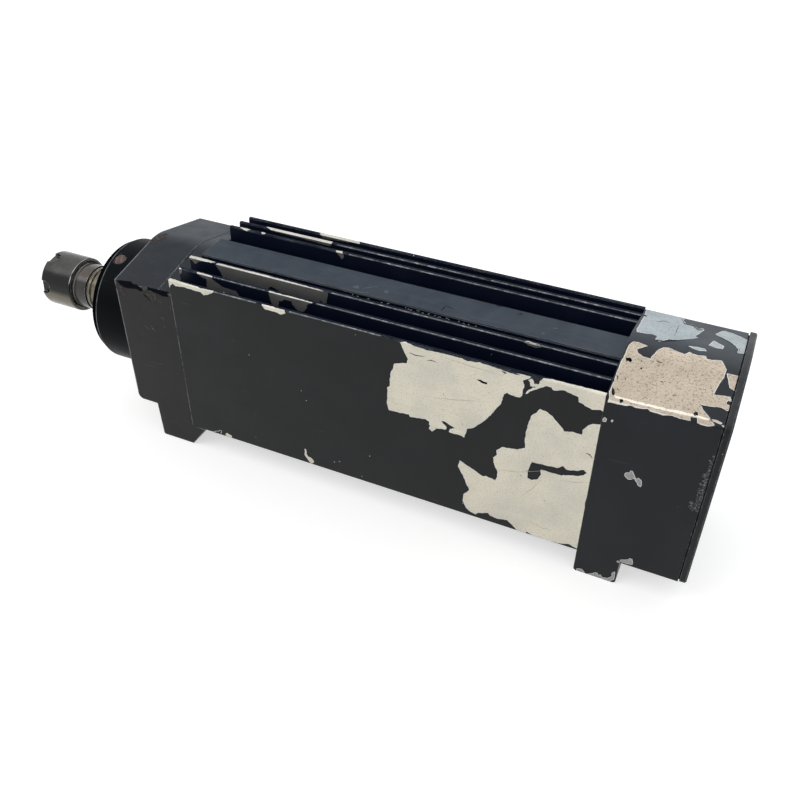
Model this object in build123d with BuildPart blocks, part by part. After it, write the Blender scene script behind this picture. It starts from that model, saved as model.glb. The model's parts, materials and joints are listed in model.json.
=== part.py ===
# Base-mounted motor spindle with a finned housing and a collet nose.
# +X runs along the shaft from the nose to the rear plate, +Z is up, and the feet stand on z = 0.
# The origin is under the middle of the whole length, so the nose lies at -X.
import os
from math import cos, radians, sin, tan

from build123d import *

os.makedirs("parts", exist_ok=True)

# Lengths along the shaft, from the nose to the rear
nut_length = 20.5
neck_length = 29.0
cartridge_projection = 26.0
casting_length = 33.0
housing_length = 207.0
block_length = 45.0
gasket_thickness = 0.5
plate_thickness = 3.0

# Heights and widths of the body
body_width = 72.0
axis_height = 57.0
foot_height = 13.2
casting_step_height = 21.0
casting_eaves = 93.0
block_eaves = 100.0
roof_slope = radians(12.5)
casting_ridge_radius = 25.0
block_ridge_radius = 40.0
outline_corner = 0.8
eaves_fillet = 1.2
casting_band_length = 8.0
casting_band_drop = 0.2

# Feet
front_foot_inset = 12.5
front_foot_length = 18.5
front_foot_draft = 0.8
front_foot_tail = 7.5
rear_foot_length = 19.5
foot_fillet = 1.5
step_fillet = 3.0
step_root_fillet = 1.5
foot_hole_radius = 3.0
foot_hole_depth = 12.0
foot_hole_inset = 9.0

# Finned extrusion, measured from the shaft axis
bore_radius = 31.0
core_half_height = 34.8
wall_half_height = 44.2
fin_count = 3
fin_pitch = 8.75
fin_tip = 2.0
fin_root = 2.6
fin_rise = 1.6
fin_chamfer = 0.4
rail_width = 18.2
rail_chamfer = 0.6
groove_fillet = 1.0

# Clearances
fit_gap = 0.02
screw_gap = 0.05
thread_gap = 0.06
taper_gap = 0.1
cone_gap = 0.3
head_gap = 0.3
spigot_gap = 0.05

# Collet chuck
nut_radius = 14.9
nut_front_round = 2.4
nut_rear_round = 0.8
nut_lip_setback = 5.3
nut_lip_length = 1.5
nut_lip_radius = 9.4
nut_lip_offset = 0.35
nut_notch_count = 5
nut_notch_radius = 3.6
nut_notch_depth = 6.8
nut_notch_bite = 2.6
nut_notch_start = 101.0
nut_counterbore_radius = 13.6
nut_counterbore_depth = 1.6
collet_recess = 0.4
collet_length = 31.5
collet_front_land = 0.6
collet_cone_length = 3.2
collet_head_length = 4.6
collet_groove_width = 2.4
collet_groove_radius = 8.7
collet_radius = 10.5
collet_cone_angle = radians(30)
collet_taper_angle = radians(8)
tool_radius = 6.0
slit_count = 8
slit_width = 1.0
slit_bridge = 7.0

# Shaft
thread_radius = 12.0
thread_relief_radius = 11.2
thread_relief_length = 1.5
collar_gap = 0.4
collar_radius = 12.3
collar_length = 8.0
ring_radius = 12.0
ring_length = 1.4
shaft_groove_radius = 11.2
shaft_groove_length = 1.2
neck_radius = 11.8
shoulder_radius = 15.5
shoulder_length = 7.0
middle_radius = 14.0
rotor_seat_radius = 12.0
rear_middle_radius = 10.5
shaft_chamfer = 0.5
shaft_step_gap = 2.0
shank_bore_radius = 6.6
shank_bore_depth = 25.0
wrench_flats = 21.0
flats_length = 9.0
flats_offset = 3.0
flats_angle = 130.0

# Bearing cartridge in front of the casting
cartridge_radius = 32.6
cartridge_face_radius = 30.6
cartridge_rim_length = 4.5
cartridge_edge = 0.5
cartridge_mouth_radius = 17.5
cartridge_lip = 3.5
cartridge_cavity_radius = 21.0
spigot_radius = 29.5
bearing_setback = 9.0
cartridge_screw_circle = 26.0
cartridge_screw_count = 6
cartridge_screw_start = 20.0
plug_radius = 3.4
plug_depth = 5.5
plug_recess = 0.35
plug_setback = 8.5
plug_angle = radians(110)
labyrinth_radius = 17.0
labyrinth_flange_radius = 20.0
labyrinth_front = 0.6
labyrinth_gap = 0.5

# Front bearings (25 x 47 x 12) and rear bearing (17 x 35 x 10)
front_bearing_bore = 25.0
front_bearing_outside = 47.0
front_bearing_width = 12.0
front_ball_radius = 3.5
front_ball_count = 12
spacer_width = 4.0
spacer_wall = 3.0
rear_bearing_bore = 17.0
rear_bearing_outside = 35.0
rear_bearing_width = 10.0
rear_ball_radius = 2.4
rear_ball_count = 9
ball_gap = 0.05
pocket_gap = 0.2
cage_rim = 1.1
cage_half_wall = 0.9
ring_shoulder_share = 0.6
ring_chamfer = 0.4

# Rear block
bulkhead_thickness = 16.0
housing_spigot_length = 4.0
rear_bearing_setback = 2.0
spring_height = 1.2
spring_thickness = 0.35
spring_inner_radius = 15.3
rear_lip_radius = 14.0
chamber_wall = 4.0
chamber_height = 66.0
chamber_corner = 4.0
lead_slot_height = 4.4
lead_drop = 23.5
lead_radius = 1.1
lead_pitch = 6.0
lead_count = 3
lead_tail = 2.0

# Rear lock nut
lock_nut_radius = 13.0
lock_nut_length = 5.0
lock_nut_slots = 4
lock_nut_slot_width = 4.0
lock_nut_slot_depth = 1.6
shaft_tail_length = 3.0

# Rear plate
plate_overhang = 0.8
gasket_inset = 0.8
plate_corner = 3.0
plate_edge = 0.6
cable_entry_radius = 8.2
cable_entry_drop = 12.0

# Motor
stator_length = 110.0
stator_setback = 47.0
stator_inner_radius = 17.5
rotor_gap = 0.4
slot_count = 18
slot_mouth_width = 1.6
slot_mouth_depth = 0.9
slot_width = 3.6
slot_bottom_radius = 26.0
slot_gap = 0.1
end_turn_length = 18.0
end_turn_inner = 19.2
end_turn_outer = 27.6
end_turn_round = 3.0
rotor_bar_count = 14
rotor_bar_radius = 1.5
rotor_bar_cover = 1.0
end_ring_length = 6.0
end_ring_wall = 0.7

# Screws
m5_shank = 2.5
m5_head = 4.25
m5_head_height = 5.0
m5_socket = 4.0
m4_shank = 2.0
m4_head = 3.5
m4_head_height = 4.0
m4_socket = 3.0
corner_screw_inset = 8.5
corner_screw_z = 28.5
corner_screw_grip = 12.0
cartridge_screw_grip = 8.0
cover_screw_inset = 11.0
cover_screw_z = 38.5
cover_screw_head = 4.0
cover_screw_head_height = 2.0
cover_screw_grip = 9.0
cover_screw_socket = 2.5
cover_screw_socket_depth = 1.6
countersink_angle = 45
screw_chamfer = 0.4
socket_depth = 2.0
pan_head_height = 2.5
screw_slot_width = 0.9
screw_slot_depth = 1.2

# Terminal block
terminal_width = 27.0
terminal_length = 18.0
terminal_height = 13.0
terminal_setback = 5.0
terminal_end_wall = 3.0
terminal_bay_width = 4.6
terminal_bay_depth = 5.0
terminal_screw_radius = 1.9
terminal_screw_height = 2.4
fixing_screw_spread = 21.6
fixing_screw_radius = 1.5
fixing_screw_head = 2.1
fixing_screw_head_height = 1.6
fixing_screw_grip = 5.0
earth_screw_inset = 12.0
earth_screw_z = -6.0

# Stations along the shaft
overall_length = (
    nut_length + neck_length + cartridge_projection + casting_length
    + housing_length + block_length + gasket_thickness + plate_thickness
)
nut_front_x = -overall_length / 2
nut_rear_x = nut_front_x + nut_length
cartridge_front_x = nut_rear_x + neck_length
casting_front_x = cartridge_front_x + cartridge_projection
housing_front_x = casting_front_x + casting_length
block_front_x = housing_front_x + housing_length
block_rear_x = block_front_x + block_length
plate_front_x = block_rear_x + gasket_thickness
plate_rear_x = plate_front_x + plate_thickness
bulkhead_rear_x = block_front_x + bulkhead_thickness
front_bearing_x = cartridge_front_x + bearing_setback
second_bearing_x = front_bearing_x + front_bearing_width + spacer_width
front_bearings_end_x = second_bearing_x + front_bearing_width
rear_bearing_x = block_front_x + rear_bearing_setback
rear_bearing_end_x = rear_bearing_x + rear_bearing_width
lock_nut_end_x = rear_bearing_end_x + lock_nut_length
stator_front_x = housing_front_x + stator_setback
stator_rear_x = stator_front_x + stator_length
front_foot_x = casting_front_x + front_foot_inset
collet_front_x = nut_front_x + collet_recess
collet_taper_x = collet_front_x + collet_head_length + collet_groove_width
collet_rear_x = collet_front_x + collet_length
nose_face_x = collet_taper_x
front_seat_radius = front_bearing_bore / 2
rear_seat_radius = rear_bearing_bore / 2
rotor_radius = stator_inner_radius - rotor_gap
rotor_bar_circle = rotor_radius - rotor_bar_cover - rotor_bar_radius
half_width = body_width / 2
chamber_width = body_width - 2 * chamber_wall
foot_hole_spread = body_width - 2 * foot_hole_inset
corner_screw_y = half_width - corner_screw_inset
cover_screw_y = half_width - cover_screw_inset
earth_screw_y = half_width - earth_screw_inset
spindle_axis = Axis((0, 0, axis_height), (1, 0, 0))
sides = (-1, 1)


# Planes

def station(x, toward=1):
    """Plane across the shaft axis at x, whose normal points to +X or, with toward=-1, to -X."""
    return Plane(origin=(x, 0, axis_height), x_dir=(0, toward, 0), z_dir=(toward, 0, 0))


def body_section(x):
    """Plane across the body at x, measured from the mounting surface."""
    return Plane(origin=(x, 0, 0), x_dir=(0, 1, 0), z_dir=(1, 0, 0))


def side_view(y=0.0):
    """Upright plane along the body at y, seen from the near side."""
    return Plane(origin=(0, y, 0), x_dir=(1, 0, 0), z_dir=(0, -1, 0))


turning_plane = Plane(origin=(0, 0, axis_height), x_dir=(1, 0, 0), z_dir=(0, -1, 0))


# Shared shapes

def across(toward, spots):
    """Places on the body as seen in a plane whose first axis turns round with its normal."""
    return [(toward * y, z) for y, z in spots]


def around(radius, count, start=0.0):
    """Evenly spaced places on a circle about the shaft axis."""
    angles = [radians(start + 360 * i / count) for i in range(count)]
    return [(radius * cos(a), radius * sin(a)) for a in angles]


def radial_plane(x, angle, radius):
    """Plane that faces outwards at a radius from the shaft axis, at an angle from the far side."""
    outwards = Vector(0, cos(angle), sin(angle))
    centre = Vector(x, 0, axis_height) + outwards * radius
    return Plane(origin=centre, x_dir=(1, 0, 0), z_dir=outwards)


def turned(*profile, mode=Mode.ADD):
    """Turn a closed profile of (station, radius) points about the shaft axis."""
    with BuildSketch(turning_plane) as half_section:
        Polygon(*profile)
    revolve(half_section.sketch, axis=spindle_axis, mode=mode)


def discs(x, radius, depth, spots=((0, 0),), toward=1, mode=Mode.ADD):
    """Round bars of one length that start at station x."""
    with BuildSketch(station(x, toward)) as rounds:
        with Locations(*across(toward, spots)):
            Circle(radius)
    extrude(rounds.sketch, amount=depth, mode=mode)


def bored(x, radius, depth, spots=((0, 0),), toward=1):
    """Cut round holes of one depth, starting at station x."""
    discs(x, radius, depth, spots, toward, Mode.SUBTRACT)


def roofed_outline(half, underside, eaves, ridge_radius, corner):
    """Outline of the end blocks: upright sides under a shallow roof with a rounded ridge."""
    ridge = eaves + half * tan(roof_slope)
    Polygon((-half, underside), (half, underside), (half, eaves), (0, ridge), (-half, eaves))
    fillet(vertices().group_by(Axis.Y)[-1], ridge_radius)
    fillet(vertices().group_by(Axis.Y)[0], corner)


def socket_screws(x, toward, spots, shank, head, head_height, socket, length):
    """Socket head screws whose head faces lie at x and whose shanks point along toward."""
    discs(x, head, head_height, spots, toward)
    face_rims = edges().filter_by(GeomType.CIRCLE).group_by(Axis.X)[0 if toward > 0 else -1]
    chamfer(face_rims, screw_chamfer)
    discs(x + toward * head_height, shank, length, spots, toward)
    with BuildSketch(station(x, toward)) as sockets:
        with Locations(*across(toward, spots)):
            RegularPolygon(socket / 2, 6, major_radius=False)
    extrude(sockets.sketch, amount=socket_depth, mode=Mode.SUBTRACT)


def screw_holes(x, toward, spots, shank, head, head_height, depth):
    """Counterbored holes for socket screws that start at x."""
    bored(x, head + head_gap, head_height + head_gap, spots, toward)
    bored(x, shank + screw_gap, depth, spots, toward)


def foot_holes(x):
    """Two tapped holes up into a foot, centred at x."""
    with BuildSketch(Plane.XY) as holes:
        with Locations((x, -foot_hole_spread / 2), (x, foot_hole_spread / 2)):
            Circle(foot_hole_radius)
    extrude(holes.sketch, amount=foot_hole_depth, mode=Mode.SUBTRACT)


def save(builder, name):
    """Label a finished piece and write it."""
    builder.part.label = name
    export_step(builder.part, f"parts/{name}.step")


corner_spots = [(y * corner_screw_y, z * corner_screw_z) for y in sides for z in sides]
cover_spots = [(y * cover_screw_y, z * cover_screw_z) for y in sides for z in sides]
cartridge_spots = around(cartridge_screw_circle, cartridge_screw_count, cartridge_screw_start)
housing_underside = axis_height - wall_half_height
front_bore = front_bearing_outside / 2 + fit_gap
rear_bore = rear_bearing_outside / 2 + fit_gap
chamber_floor = axis_height - chamber_height / 2
earth_spot = [(earth_screw_y, earth_screw_z)]


# Finned housing, an extrusion with the same section from end to end

def fin_profile(outer, tip, side, above):
    """One fin: outer face upright, inner face drawn in towards a chamfered tip."""
    points = [
        (outer, 0),
        (outer, tip - fin_chamfer),
        (outer - fin_chamfer, tip),
        (outer - fin_tip + fin_chamfer, tip),
        (outer - fin_tip, tip - fin_chamfer),
        (outer - fin_root, core_half_height),
        (outer - fin_root, 0),
    ]
    Polygon(*[(side * y, above * z) for y, z in points])


def rail_profile(above):
    """Flat rail between the two sets of fins."""
    half = rail_width / 2
    shoulder = above * (wall_half_height - rail_chamfer)
    crown = above * wall_half_height
    inset = half - rail_chamfer
    Polygon((-half, 0), (-half, shoulder), (-inset, crown), (inset, crown), (half, shoulder), (half, 0))


with BuildPart() as finned_housing:
    with BuildSketch(station(housing_front_x)):
        Rectangle(body_width, 2 * core_half_height)
        for above in sides:
            rail_profile(above)
            for index in range(fin_count):
                tip_height = wall_half_height + (fin_rise * index if above > 0 else 0)
                for side in sides:
                    fin_profile(half_width - fin_pitch * index, tip_height, side, above)
        floor_corners = vertices().filter_by(
            lambda v: abs(abs(v.Y) - core_half_height) < fit_gap and abs(v.X) < half_width - fin_tip
        )
        fillet(floor_corners, groove_fillet)
        Circle(bore_radius, mode=Mode.SUBTRACT)
        with Locations(*corner_spots):
            Circle(m5_shank + screw_gap, mode=Mode.SUBTRACT)
    extrude(amount=housing_length)
save(finned_housing, "finned_housing")


# Front casting: roofed block, stepped underside, and a foot whose tail runs under the housing

with BuildPart() as front_casting:
    with BuildSketch(body_section(casting_front_x)):
        roofed_outline(half_width, 0, casting_eaves, casting_ridge_radius, outline_corner)
    extrude(amount=casting_length - casting_band_length)
    band_eaves = casting_eaves - casting_band_drop
    with BuildSketch(body_section(housing_front_x - casting_band_length)):
        roofed_outline(half_width, 0, band_eaves, casting_ridge_radius, outline_corner)
    extrude(amount=casting_band_length + front_foot_tail)
    with BuildSketch(side_view()):
        Polygon(
            (casting_front_x, casting_step_height),
            (front_foot_x - front_foot_draft, casting_step_height),
            (front_foot_x, 0),
            (front_foot_x + front_foot_length, 0),
            (housing_front_x + front_foot_tail, housing_underside),
            (housing_front_x, housing_underside),
            (housing_front_x, 2 * axis_height),
            (casting_front_x, 2 * axis_height),
        )
        step_corner = vertices().sort_by_distance((casting_front_x, casting_step_height))[0]
        step_root = vertices().sort_by_distance((front_foot_x - front_foot_draft, casting_step_height))[0]
        fillet(step_corner, step_fillet)
        fillet(step_root, step_root_fillet)
        fillet(vertices().group_by(Axis.Y)[0], foot_fillet)
    extrude(amount=body_width, both=True, mode=Mode.INTERSECT)
    discs(housing_front_x, bore_radius - spigot_gap, housing_spigot_length)
    bored(casting_front_x, spigot_radius + spigot_gap, front_bearings_end_x - casting_front_x)
    bored(casting_front_x, cartridge_cavity_radius, casting_length + housing_spigot_length)
    screw_holes(casting_front_x, 1, corner_spots, m5_shank, m5_head, m5_head_height, casting_length)
    bored(front_bearings_end_x, m4_shank + screw_gap, cartridge_screw_grip, cartridge_spots)
    foot_holes(front_foot_x + front_foot_length / 2)
save(front_casting, "front_casting")


# Bearing cartridge, its screws and its radial plug

plug_x = cartridge_front_x + plug_setback
plug_seat = radial_plane(plug_x, plug_angle, cartridge_radius - plug_depth)

with BuildPart() as bearing_cartridge:
    turned(
        (cartridge_front_x, cartridge_mouth_radius),
        (cartridge_front_x, cartridge_face_radius - cartridge_edge),
        (cartridge_front_x + cartridge_edge, cartridge_face_radius),
        (cartridge_front_x + cartridge_rim_length, cartridge_radius),
        (casting_front_x, cartridge_radius),
        (casting_front_x, spigot_radius),
        (front_bearings_end_x, spigot_radius),
        (front_bearings_end_x, front_bore),
        (front_bearing_x, front_bore),
        (front_bearing_x, cartridge_cavity_radius),
        (cartridge_front_x + cartridge_lip, cartridge_cavity_radius),
        (cartridge_front_x + cartridge_lip, cartridge_mouth_radius),
    )
    screw_holes(
        cartridge_front_x, 1, cartridge_spots, m4_shank, m4_head, m4_head_height,
        front_bearings_end_x - cartridge_front_x,
    )
    with BuildSketch(plug_seat):
        Circle(plug_radius + screw_gap)
    extrude(amount=2 * plug_depth, mode=Mode.SUBTRACT)
save(bearing_cartridge, "bearing_cartridge")

with BuildPart() as cartridge_screws:
    socket_screws(
        cartridge_front_x + head_gap, 1, cartridge_spots, m4_shank, m4_head, m4_head_height, m4_socket,
        front_bearings_end_x - cartridge_front_x - m4_head_height - head_gap + cartridge_screw_grip,
    )
save(cartridge_screws, "cartridge_screws")

with BuildPart() as radial_plug:
    with BuildSketch(plug_seat):
        Circle(plug_radius)
    extrude(amount=plug_depth - plug_recess)
    outer_rim = edges().filter_by(GeomType.CIRCLE).sort_by(Axis.Z)[-1]
    chamfer(outer_rim, screw_chamfer)
save(radial_plug, "radial_plug")

with BuildPart() as casting_screws:
    socket_screws(
        casting_front_x + head_gap, 1, corner_spots, m5_shank, m5_head, m5_head_height, m5_socket,
        casting_length - m5_head_height + corner_screw_grip,
    )
save(casting_screws, "casting_screws")


# Rear block with its chamber

rear_seat_x = block_front_x - housing_spigot_length
lead_slot_width = (lead_count - 1) * lead_pitch + lead_slot_height
terminal_x = bulkhead_rear_x + terminal_setback + terminal_length / 2

with BuildPart() as rear_block:
    with BuildSketch(body_section(block_front_x)):
        roofed_outline(half_width, foot_height, block_eaves, block_ridge_radius, outline_corner)
    extrude(amount=block_length)
    eaves_edges = edges().filter_by(Axis.X).filter_by(lambda e: abs(e.center().Z - block_eaves) < fit_gap)
    fillet(eaves_edges, eaves_fillet)
    with BuildSketch(body_section(block_front_x)):
        with Locations((0, foot_height)):
            Rectangle(body_width, 2 * foot_height)
    extrude(amount=rear_foot_length)
    fillet(edges().filter_by(Axis.Y).group_by(Axis.Z)[0], foot_fillet)
    discs(block_front_x, bore_radius - spigot_gap, housing_spigot_length, toward=-1)
    with BuildSketch(station(block_rear_x, -1)):
        RectangleRounded(chamber_width, chamber_height, chamber_corner)
    extrude(amount=block_length - bulkhead_thickness, mode=Mode.SUBTRACT)
    bored(rear_seat_x, rear_bore, rear_bearing_end_x + spring_height - rear_seat_x)
    bored(rear_seat_x, rear_lip_radius, block_length)
    bored(bulkhead_rear_x, m5_shank + screw_gap, bulkhead_thickness, corner_spots, toward=-1)
    bored(block_rear_x, m4_shank + screw_gap, cover_screw_grip, cover_spots, toward=-1)
    bored(bulkhead_rear_x, m4_shank + screw_gap, cover_screw_grip, earth_spot, toward=-1)
    with BuildSketch(station(rear_seat_x)):
        with Locations((0, -lead_drop)):
            SlotOverall(lead_slot_width, lead_slot_height)
    extrude(amount=bulkhead_thickness + housing_spigot_length, mode=Mode.SUBTRACT)
    with BuildSketch(Plane.XY.offset(chamber_floor)):
        with Locations((terminal_x, -fixing_screw_spread / 2), (terminal_x, fixing_screw_spread / 2)):
            Circle(fixing_screw_radius + screw_gap)
    extrude(amount=-fixing_screw_grip, mode=Mode.SUBTRACT)
    foot_holes(block_front_x + rear_foot_length / 2)
save(rear_block, "rear_block")

with BuildPart() as block_screws:
    socket_screws(
        bulkhead_rear_x + m5_head_height, -1, corner_spots, m5_shank, m5_head, m5_head_height, m5_socket,
        bulkhead_thickness + corner_screw_grip,
    )
save(block_screws, "block_screws")

with BuildPart() as earth_screw:
    discs(bulkhead_rear_x + pan_head_height, m4_head, pan_head_height, earth_spot, -1)
    chamfer(edges().filter_by(GeomType.CIRCLE).group_by(Axis.X)[-1], screw_chamfer)
    discs(bulkhead_rear_x, m4_shank, cover_screw_grip, earth_spot, -1)
    with BuildSketch(station(bulkhead_rear_x + pan_head_height, -1)):
        with Locations(*across(-1, earth_spot)):
            Rectangle(screw_slot_width, 3 * m4_head)
    extrude(amount=screw_slot_depth, mode=Mode.SUBTRACT)
save(earth_screw, "earth_screw")


# Gasket and rear plate

def countersunk(radius, x, spots, depth, mode):
    """Cones that narrow towards the nose from a head face at x."""
    with BuildSketch(station(x, -1)) as faces:
        with Locations(*across(-1, spots)):
            Circle(radius)
    extrude(faces.sketch, amount=depth, taper=countersink_angle, mode=mode)


with BuildPart() as rear_gasket:
    with BuildSketch(body_section(block_rear_x)):
        roofed_outline(
            half_width - gasket_inset, foot_height + gasket_inset, block_eaves - gasket_inset,
            block_ridge_radius, outline_corner,
        )
    extrude(amount=gasket_thickness)
    with BuildSketch(station(block_rear_x)):
        RectangleRounded(chamber_width, chamber_height, chamber_corner)
    extrude(amount=gasket_thickness, mode=Mode.SUBTRACT)
    bored(block_rear_x, m4_shank + screw_gap, gasket_thickness, cover_spots)
save(rear_gasket, "rear_gasket")

with BuildPart() as rear_plate:
    with BuildSketch(body_section(plate_front_x)):
        roofed_outline(
            half_width + plate_overhang, foot_height, block_eaves + plate_overhang,
            block_ridge_radius, plate_corner,
        )
        upper_corners = vertices().filter_by(lambda v: abs(v.Y - block_eaves - plate_overhang) < fit_gap)
        fillet(upper_corners, plate_corner)
    extrude(amount=plate_thickness)
    chamfer(faces().sort_by(Axis.X)[-1].edges(), plate_edge)
    bored(plate_front_x, m4_shank + screw_gap, plate_thickness, cover_spots)
    hole_rim = cover_screw_head + screw_gap
    countersunk(hole_rim, plate_rear_x, cover_spots, cover_screw_head_height, Mode.SUBTRACT)
    bored(plate_front_x, cable_entry_radius, plate_thickness, [(0, -cable_entry_drop)])
save(rear_plate, "rear_plate")

with BuildPart() as plate_screws:
    countersunk(cover_screw_head, plate_rear_x, cover_spots, cover_screw_head_height, Mode.ADD)
    discs(plate_rear_x, m4_shank, plate_thickness + gasket_thickness + cover_screw_grip, cover_spots, -1)
    with BuildSketch(station(plate_rear_x, -1)) as sockets:
        with Locations(*cover_spots):
            RegularPolygon(cover_screw_socket / 2, 6, major_radius=False)
    extrude(amount=cover_screw_socket_depth, mode=Mode.SUBTRACT)
save(plate_screws, "plate_screws")


# Terminal block and winding leads in the rear block's chamber

terminal_front_x = bulkhead_rear_x + terminal_setback
terminal_top = chamber_floor + terminal_height
lead_rows = [lead_pitch * (i - (lead_count - 1) / 2) for i in range(lead_count)]
lead_spots = [(y, -lead_drop) for y in lead_rows]
bay_spots = [(terminal_x, y) for y in lead_rows]
fixing_spots = [(terminal_x, -fixing_screw_spread / 2), (terminal_x, fixing_screw_spread / 2)]

with BuildPart() as terminal_block:
    with BuildSketch(Plane.XY.offset(chamber_floor)):
        with Locations((terminal_x, 0)):
            Rectangle(terminal_length, terminal_width)
    extrude(amount=terminal_height)
    with BuildSketch(Plane.XY.offset(terminal_top)):
        with Locations(*bay_spots):
            Rectangle(terminal_length - 2 * terminal_end_wall, terminal_bay_width)
    extrude(amount=-terminal_bay_depth, mode=Mode.SUBTRACT)
    with BuildSketch(Plane.XY.offset(terminal_top)):
        with Locations(*fixing_spots):
            Circle(fixing_screw_head + screw_gap)
    extrude(amount=-fixing_screw_head_height - screw_gap, mode=Mode.SUBTRACT)
    with BuildSketch(Plane.XY.offset(chamber_floor)):
        with Locations(*fixing_spots):
            Circle(fixing_screw_radius + screw_gap)
    extrude(amount=terminal_height, mode=Mode.SUBTRACT)
    bored(terminal_front_x, lead_radius + screw_gap, terminal_end_wall, lead_spots)
save(terminal_block, "terminal_block")

with BuildPart() as terminal_screws:
    with BuildSketch(Plane.XY.offset(terminal_top - terminal_bay_depth)):
        with Locations(*bay_spots):
            Circle(terminal_screw_radius)
    extrude(amount=terminal_screw_height)
    with BuildSketch(Plane.XY.offset(terminal_top - terminal_bay_depth + terminal_screw_height)):
        with Locations(*bay_spots):
            Rectangle(3 * terminal_screw_radius, screw_slot_width)
    extrude(amount=-screw_slot_depth, mode=Mode.SUBTRACT)
save(terminal_screws, "terminal_screws")

with BuildPart() as fixing_screws:
    with BuildSketch(Plane.XY.offset(terminal_top)):
        with Locations(*fixing_spots):
            Circle(fixing_screw_head)
    extrude(amount=-fixing_screw_head_height)
    with BuildSketch(Plane.XY.offset(terminal_top)):
        with Locations(*fixing_spots):
            Circle(fixing_screw_radius)
    extrude(amount=-terminal_height - fixing_screw_grip)
save(fixing_screws, "fixing_screws")

with BuildPart() as winding_leads:
    lead_start_x = stator_rear_x + end_turn_length
    lead_end_x = terminal_front_x + terminal_end_wall + lead_tail
    discs(lead_start_x, lead_radius, lead_end_x - lead_start_x, lead_spots)
save(winding_leads, "winding_leads")


# Rolling bearings: rings with a round raceway, balls, and a cage with a pocket for each ball

def bearing_ring(x, width, seat, inner, ball_circle, ball):
    """Inner or outer ring of a bearing that starts at x."""
    shoulder = ball_circle + (-1 if inner else 1) * ring_shoulder_share * ball
    with BuildSketch(turning_plane) as half_section:
        Polygon((x, seat), (x + width, seat), (x + width, shoulder), (x, shoulder))
        seat_corners = vertices().group_by(Axis.Y)[0 if inner else -1]
        chamfer(seat_corners, ring_chamfer)
        with Locations((x + width / 2, ball_circle)):
            Circle(ball + ball_gap, mode=Mode.SUBTRACT)
    revolve(half_section.sketch, axis=spindle_axis)


def ball_set(x, width, ball_circle, ball, count):
    """The balls of one bearing."""
    spots = around(ball_circle, count)
    with Locations(*[(x + width / 2, y, axis_height + z) for y, z in spots]):
        Sphere(ball)


def ball_cage(x, width, ball_circle, ball, count):
    """Cage of one bearing: a short tube with a round pocket for each ball."""
    middle = x + width / 2
    start = middle - ball - pocket_gap - cage_rim
    end = middle + ball + pocket_gap + cage_rim
    inner = ball_circle - cage_half_wall
    outer = ball_circle + cage_half_wall
    turned((start, inner), (end, inner), (end, outer), (start, outer))
    for index in range(count):
        angle = radians(360 * index / count)
        with BuildSketch(radial_plane(middle, angle, inner - cage_half_wall)) as pocket:
            Circle(ball + pocket_gap)
        extrude(pocket.sketch, amount=4 * cage_half_wall, mode=Mode.SUBTRACT)


def bearing(name, x, width, bore, outside, ball, count):
    """Write the four pieces of one bearing."""
    ball_circle = (bore + outside) / 4
    with BuildPart() as outer_ring:
        bearing_ring(x, width, outside / 2, False, ball_circle, ball)
    save(outer_ring, f"{name}_outer_ring")
    with BuildPart() as inner_ring:
        bearing_ring(x, width, bore / 2 + fit_gap, True, ball_circle, ball)
    save(inner_ring, f"{name}_inner_ring")
    with BuildPart() as balls:
        ball_set(x, width, ball_circle, ball, count)
    save(balls, f"{name}_balls")
    with BuildPart() as cage:
        ball_cage(x, width, ball_circle, ball, count)
    save(cage, f"{name}_cage")


for name, x in (("front_bearing", front_bearing_x), ("second_bearing", second_bearing_x)):
    bearing(
        name, x, front_bearing_width, front_bearing_bore, front_bearing_outside,
        front_ball_radius, front_ball_count,
    )
bearing(
    "rear_bearing", rear_bearing_x, rear_bearing_width, rear_bearing_bore, rear_bearing_outside,
    rear_ball_radius, rear_ball_count,
)

with BuildPart() as outer_spacer:
    spacer_x = front_bearing_x + front_bearing_width
    outside = front_bearing_outside / 2
    turned(
        (spacer_x, outside - spacer_wall), (spacer_x + spacer_width, outside - spacer_wall),
        (spacer_x + spacer_width, outside), (spacer_x, outside),
    )
save(outer_spacer, "outer_spacer")

with BuildPart() as inner_spacer:
    inside = front_seat_radius + fit_gap
    turned(
        (spacer_x, inside), (spacer_x + spacer_width, inside),
        (spacer_x + spacer_width, inside + spacer_wall), (spacer_x, inside + spacer_wall),
    )
save(inner_spacer, "inner_spacer")

with BuildPart() as preload_spring:
    spring_x = rear_bearing_end_x
    spring_outer = rear_bearing_outside / 2 - spring_thickness
    turned(
        (spring_x, spring_inner_radius),
        (spring_x + spring_thickness, spring_inner_radius),
        (spring_x + spring_height, spring_outer),
        (spring_x + spring_height - spring_thickness, spring_outer),
    )
save(preload_spring, "preload_spring")


# Shaft, hollow at the nose for the collet and for long tool shanks

def taper_radius(x):
    """Radius of the collet's long taper at station x."""
    return collet_radius - (x - collet_taper_x) * tan(collet_taper_angle)


collar_x = nut_rear_x + collar_gap
first_groove_x = collar_x + collar_length
ring_x = first_groove_x + shaft_groove_length
second_groove_x = ring_x + ring_length
neck_x = second_groove_x + shaft_groove_length
labyrinth_x = cartridge_front_x + labyrinth_front
shoulder_x = front_bearings_end_x
rotor_seat_x = stator_front_x - end_ring_length - shaft_step_gap
rotor_seat_end_x = stator_rear_x + end_ring_length
tail_x = lock_nut_end_x + shaft_tail_length
shank_bore_end_x = collet_rear_x + shank_bore_depth

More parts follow.
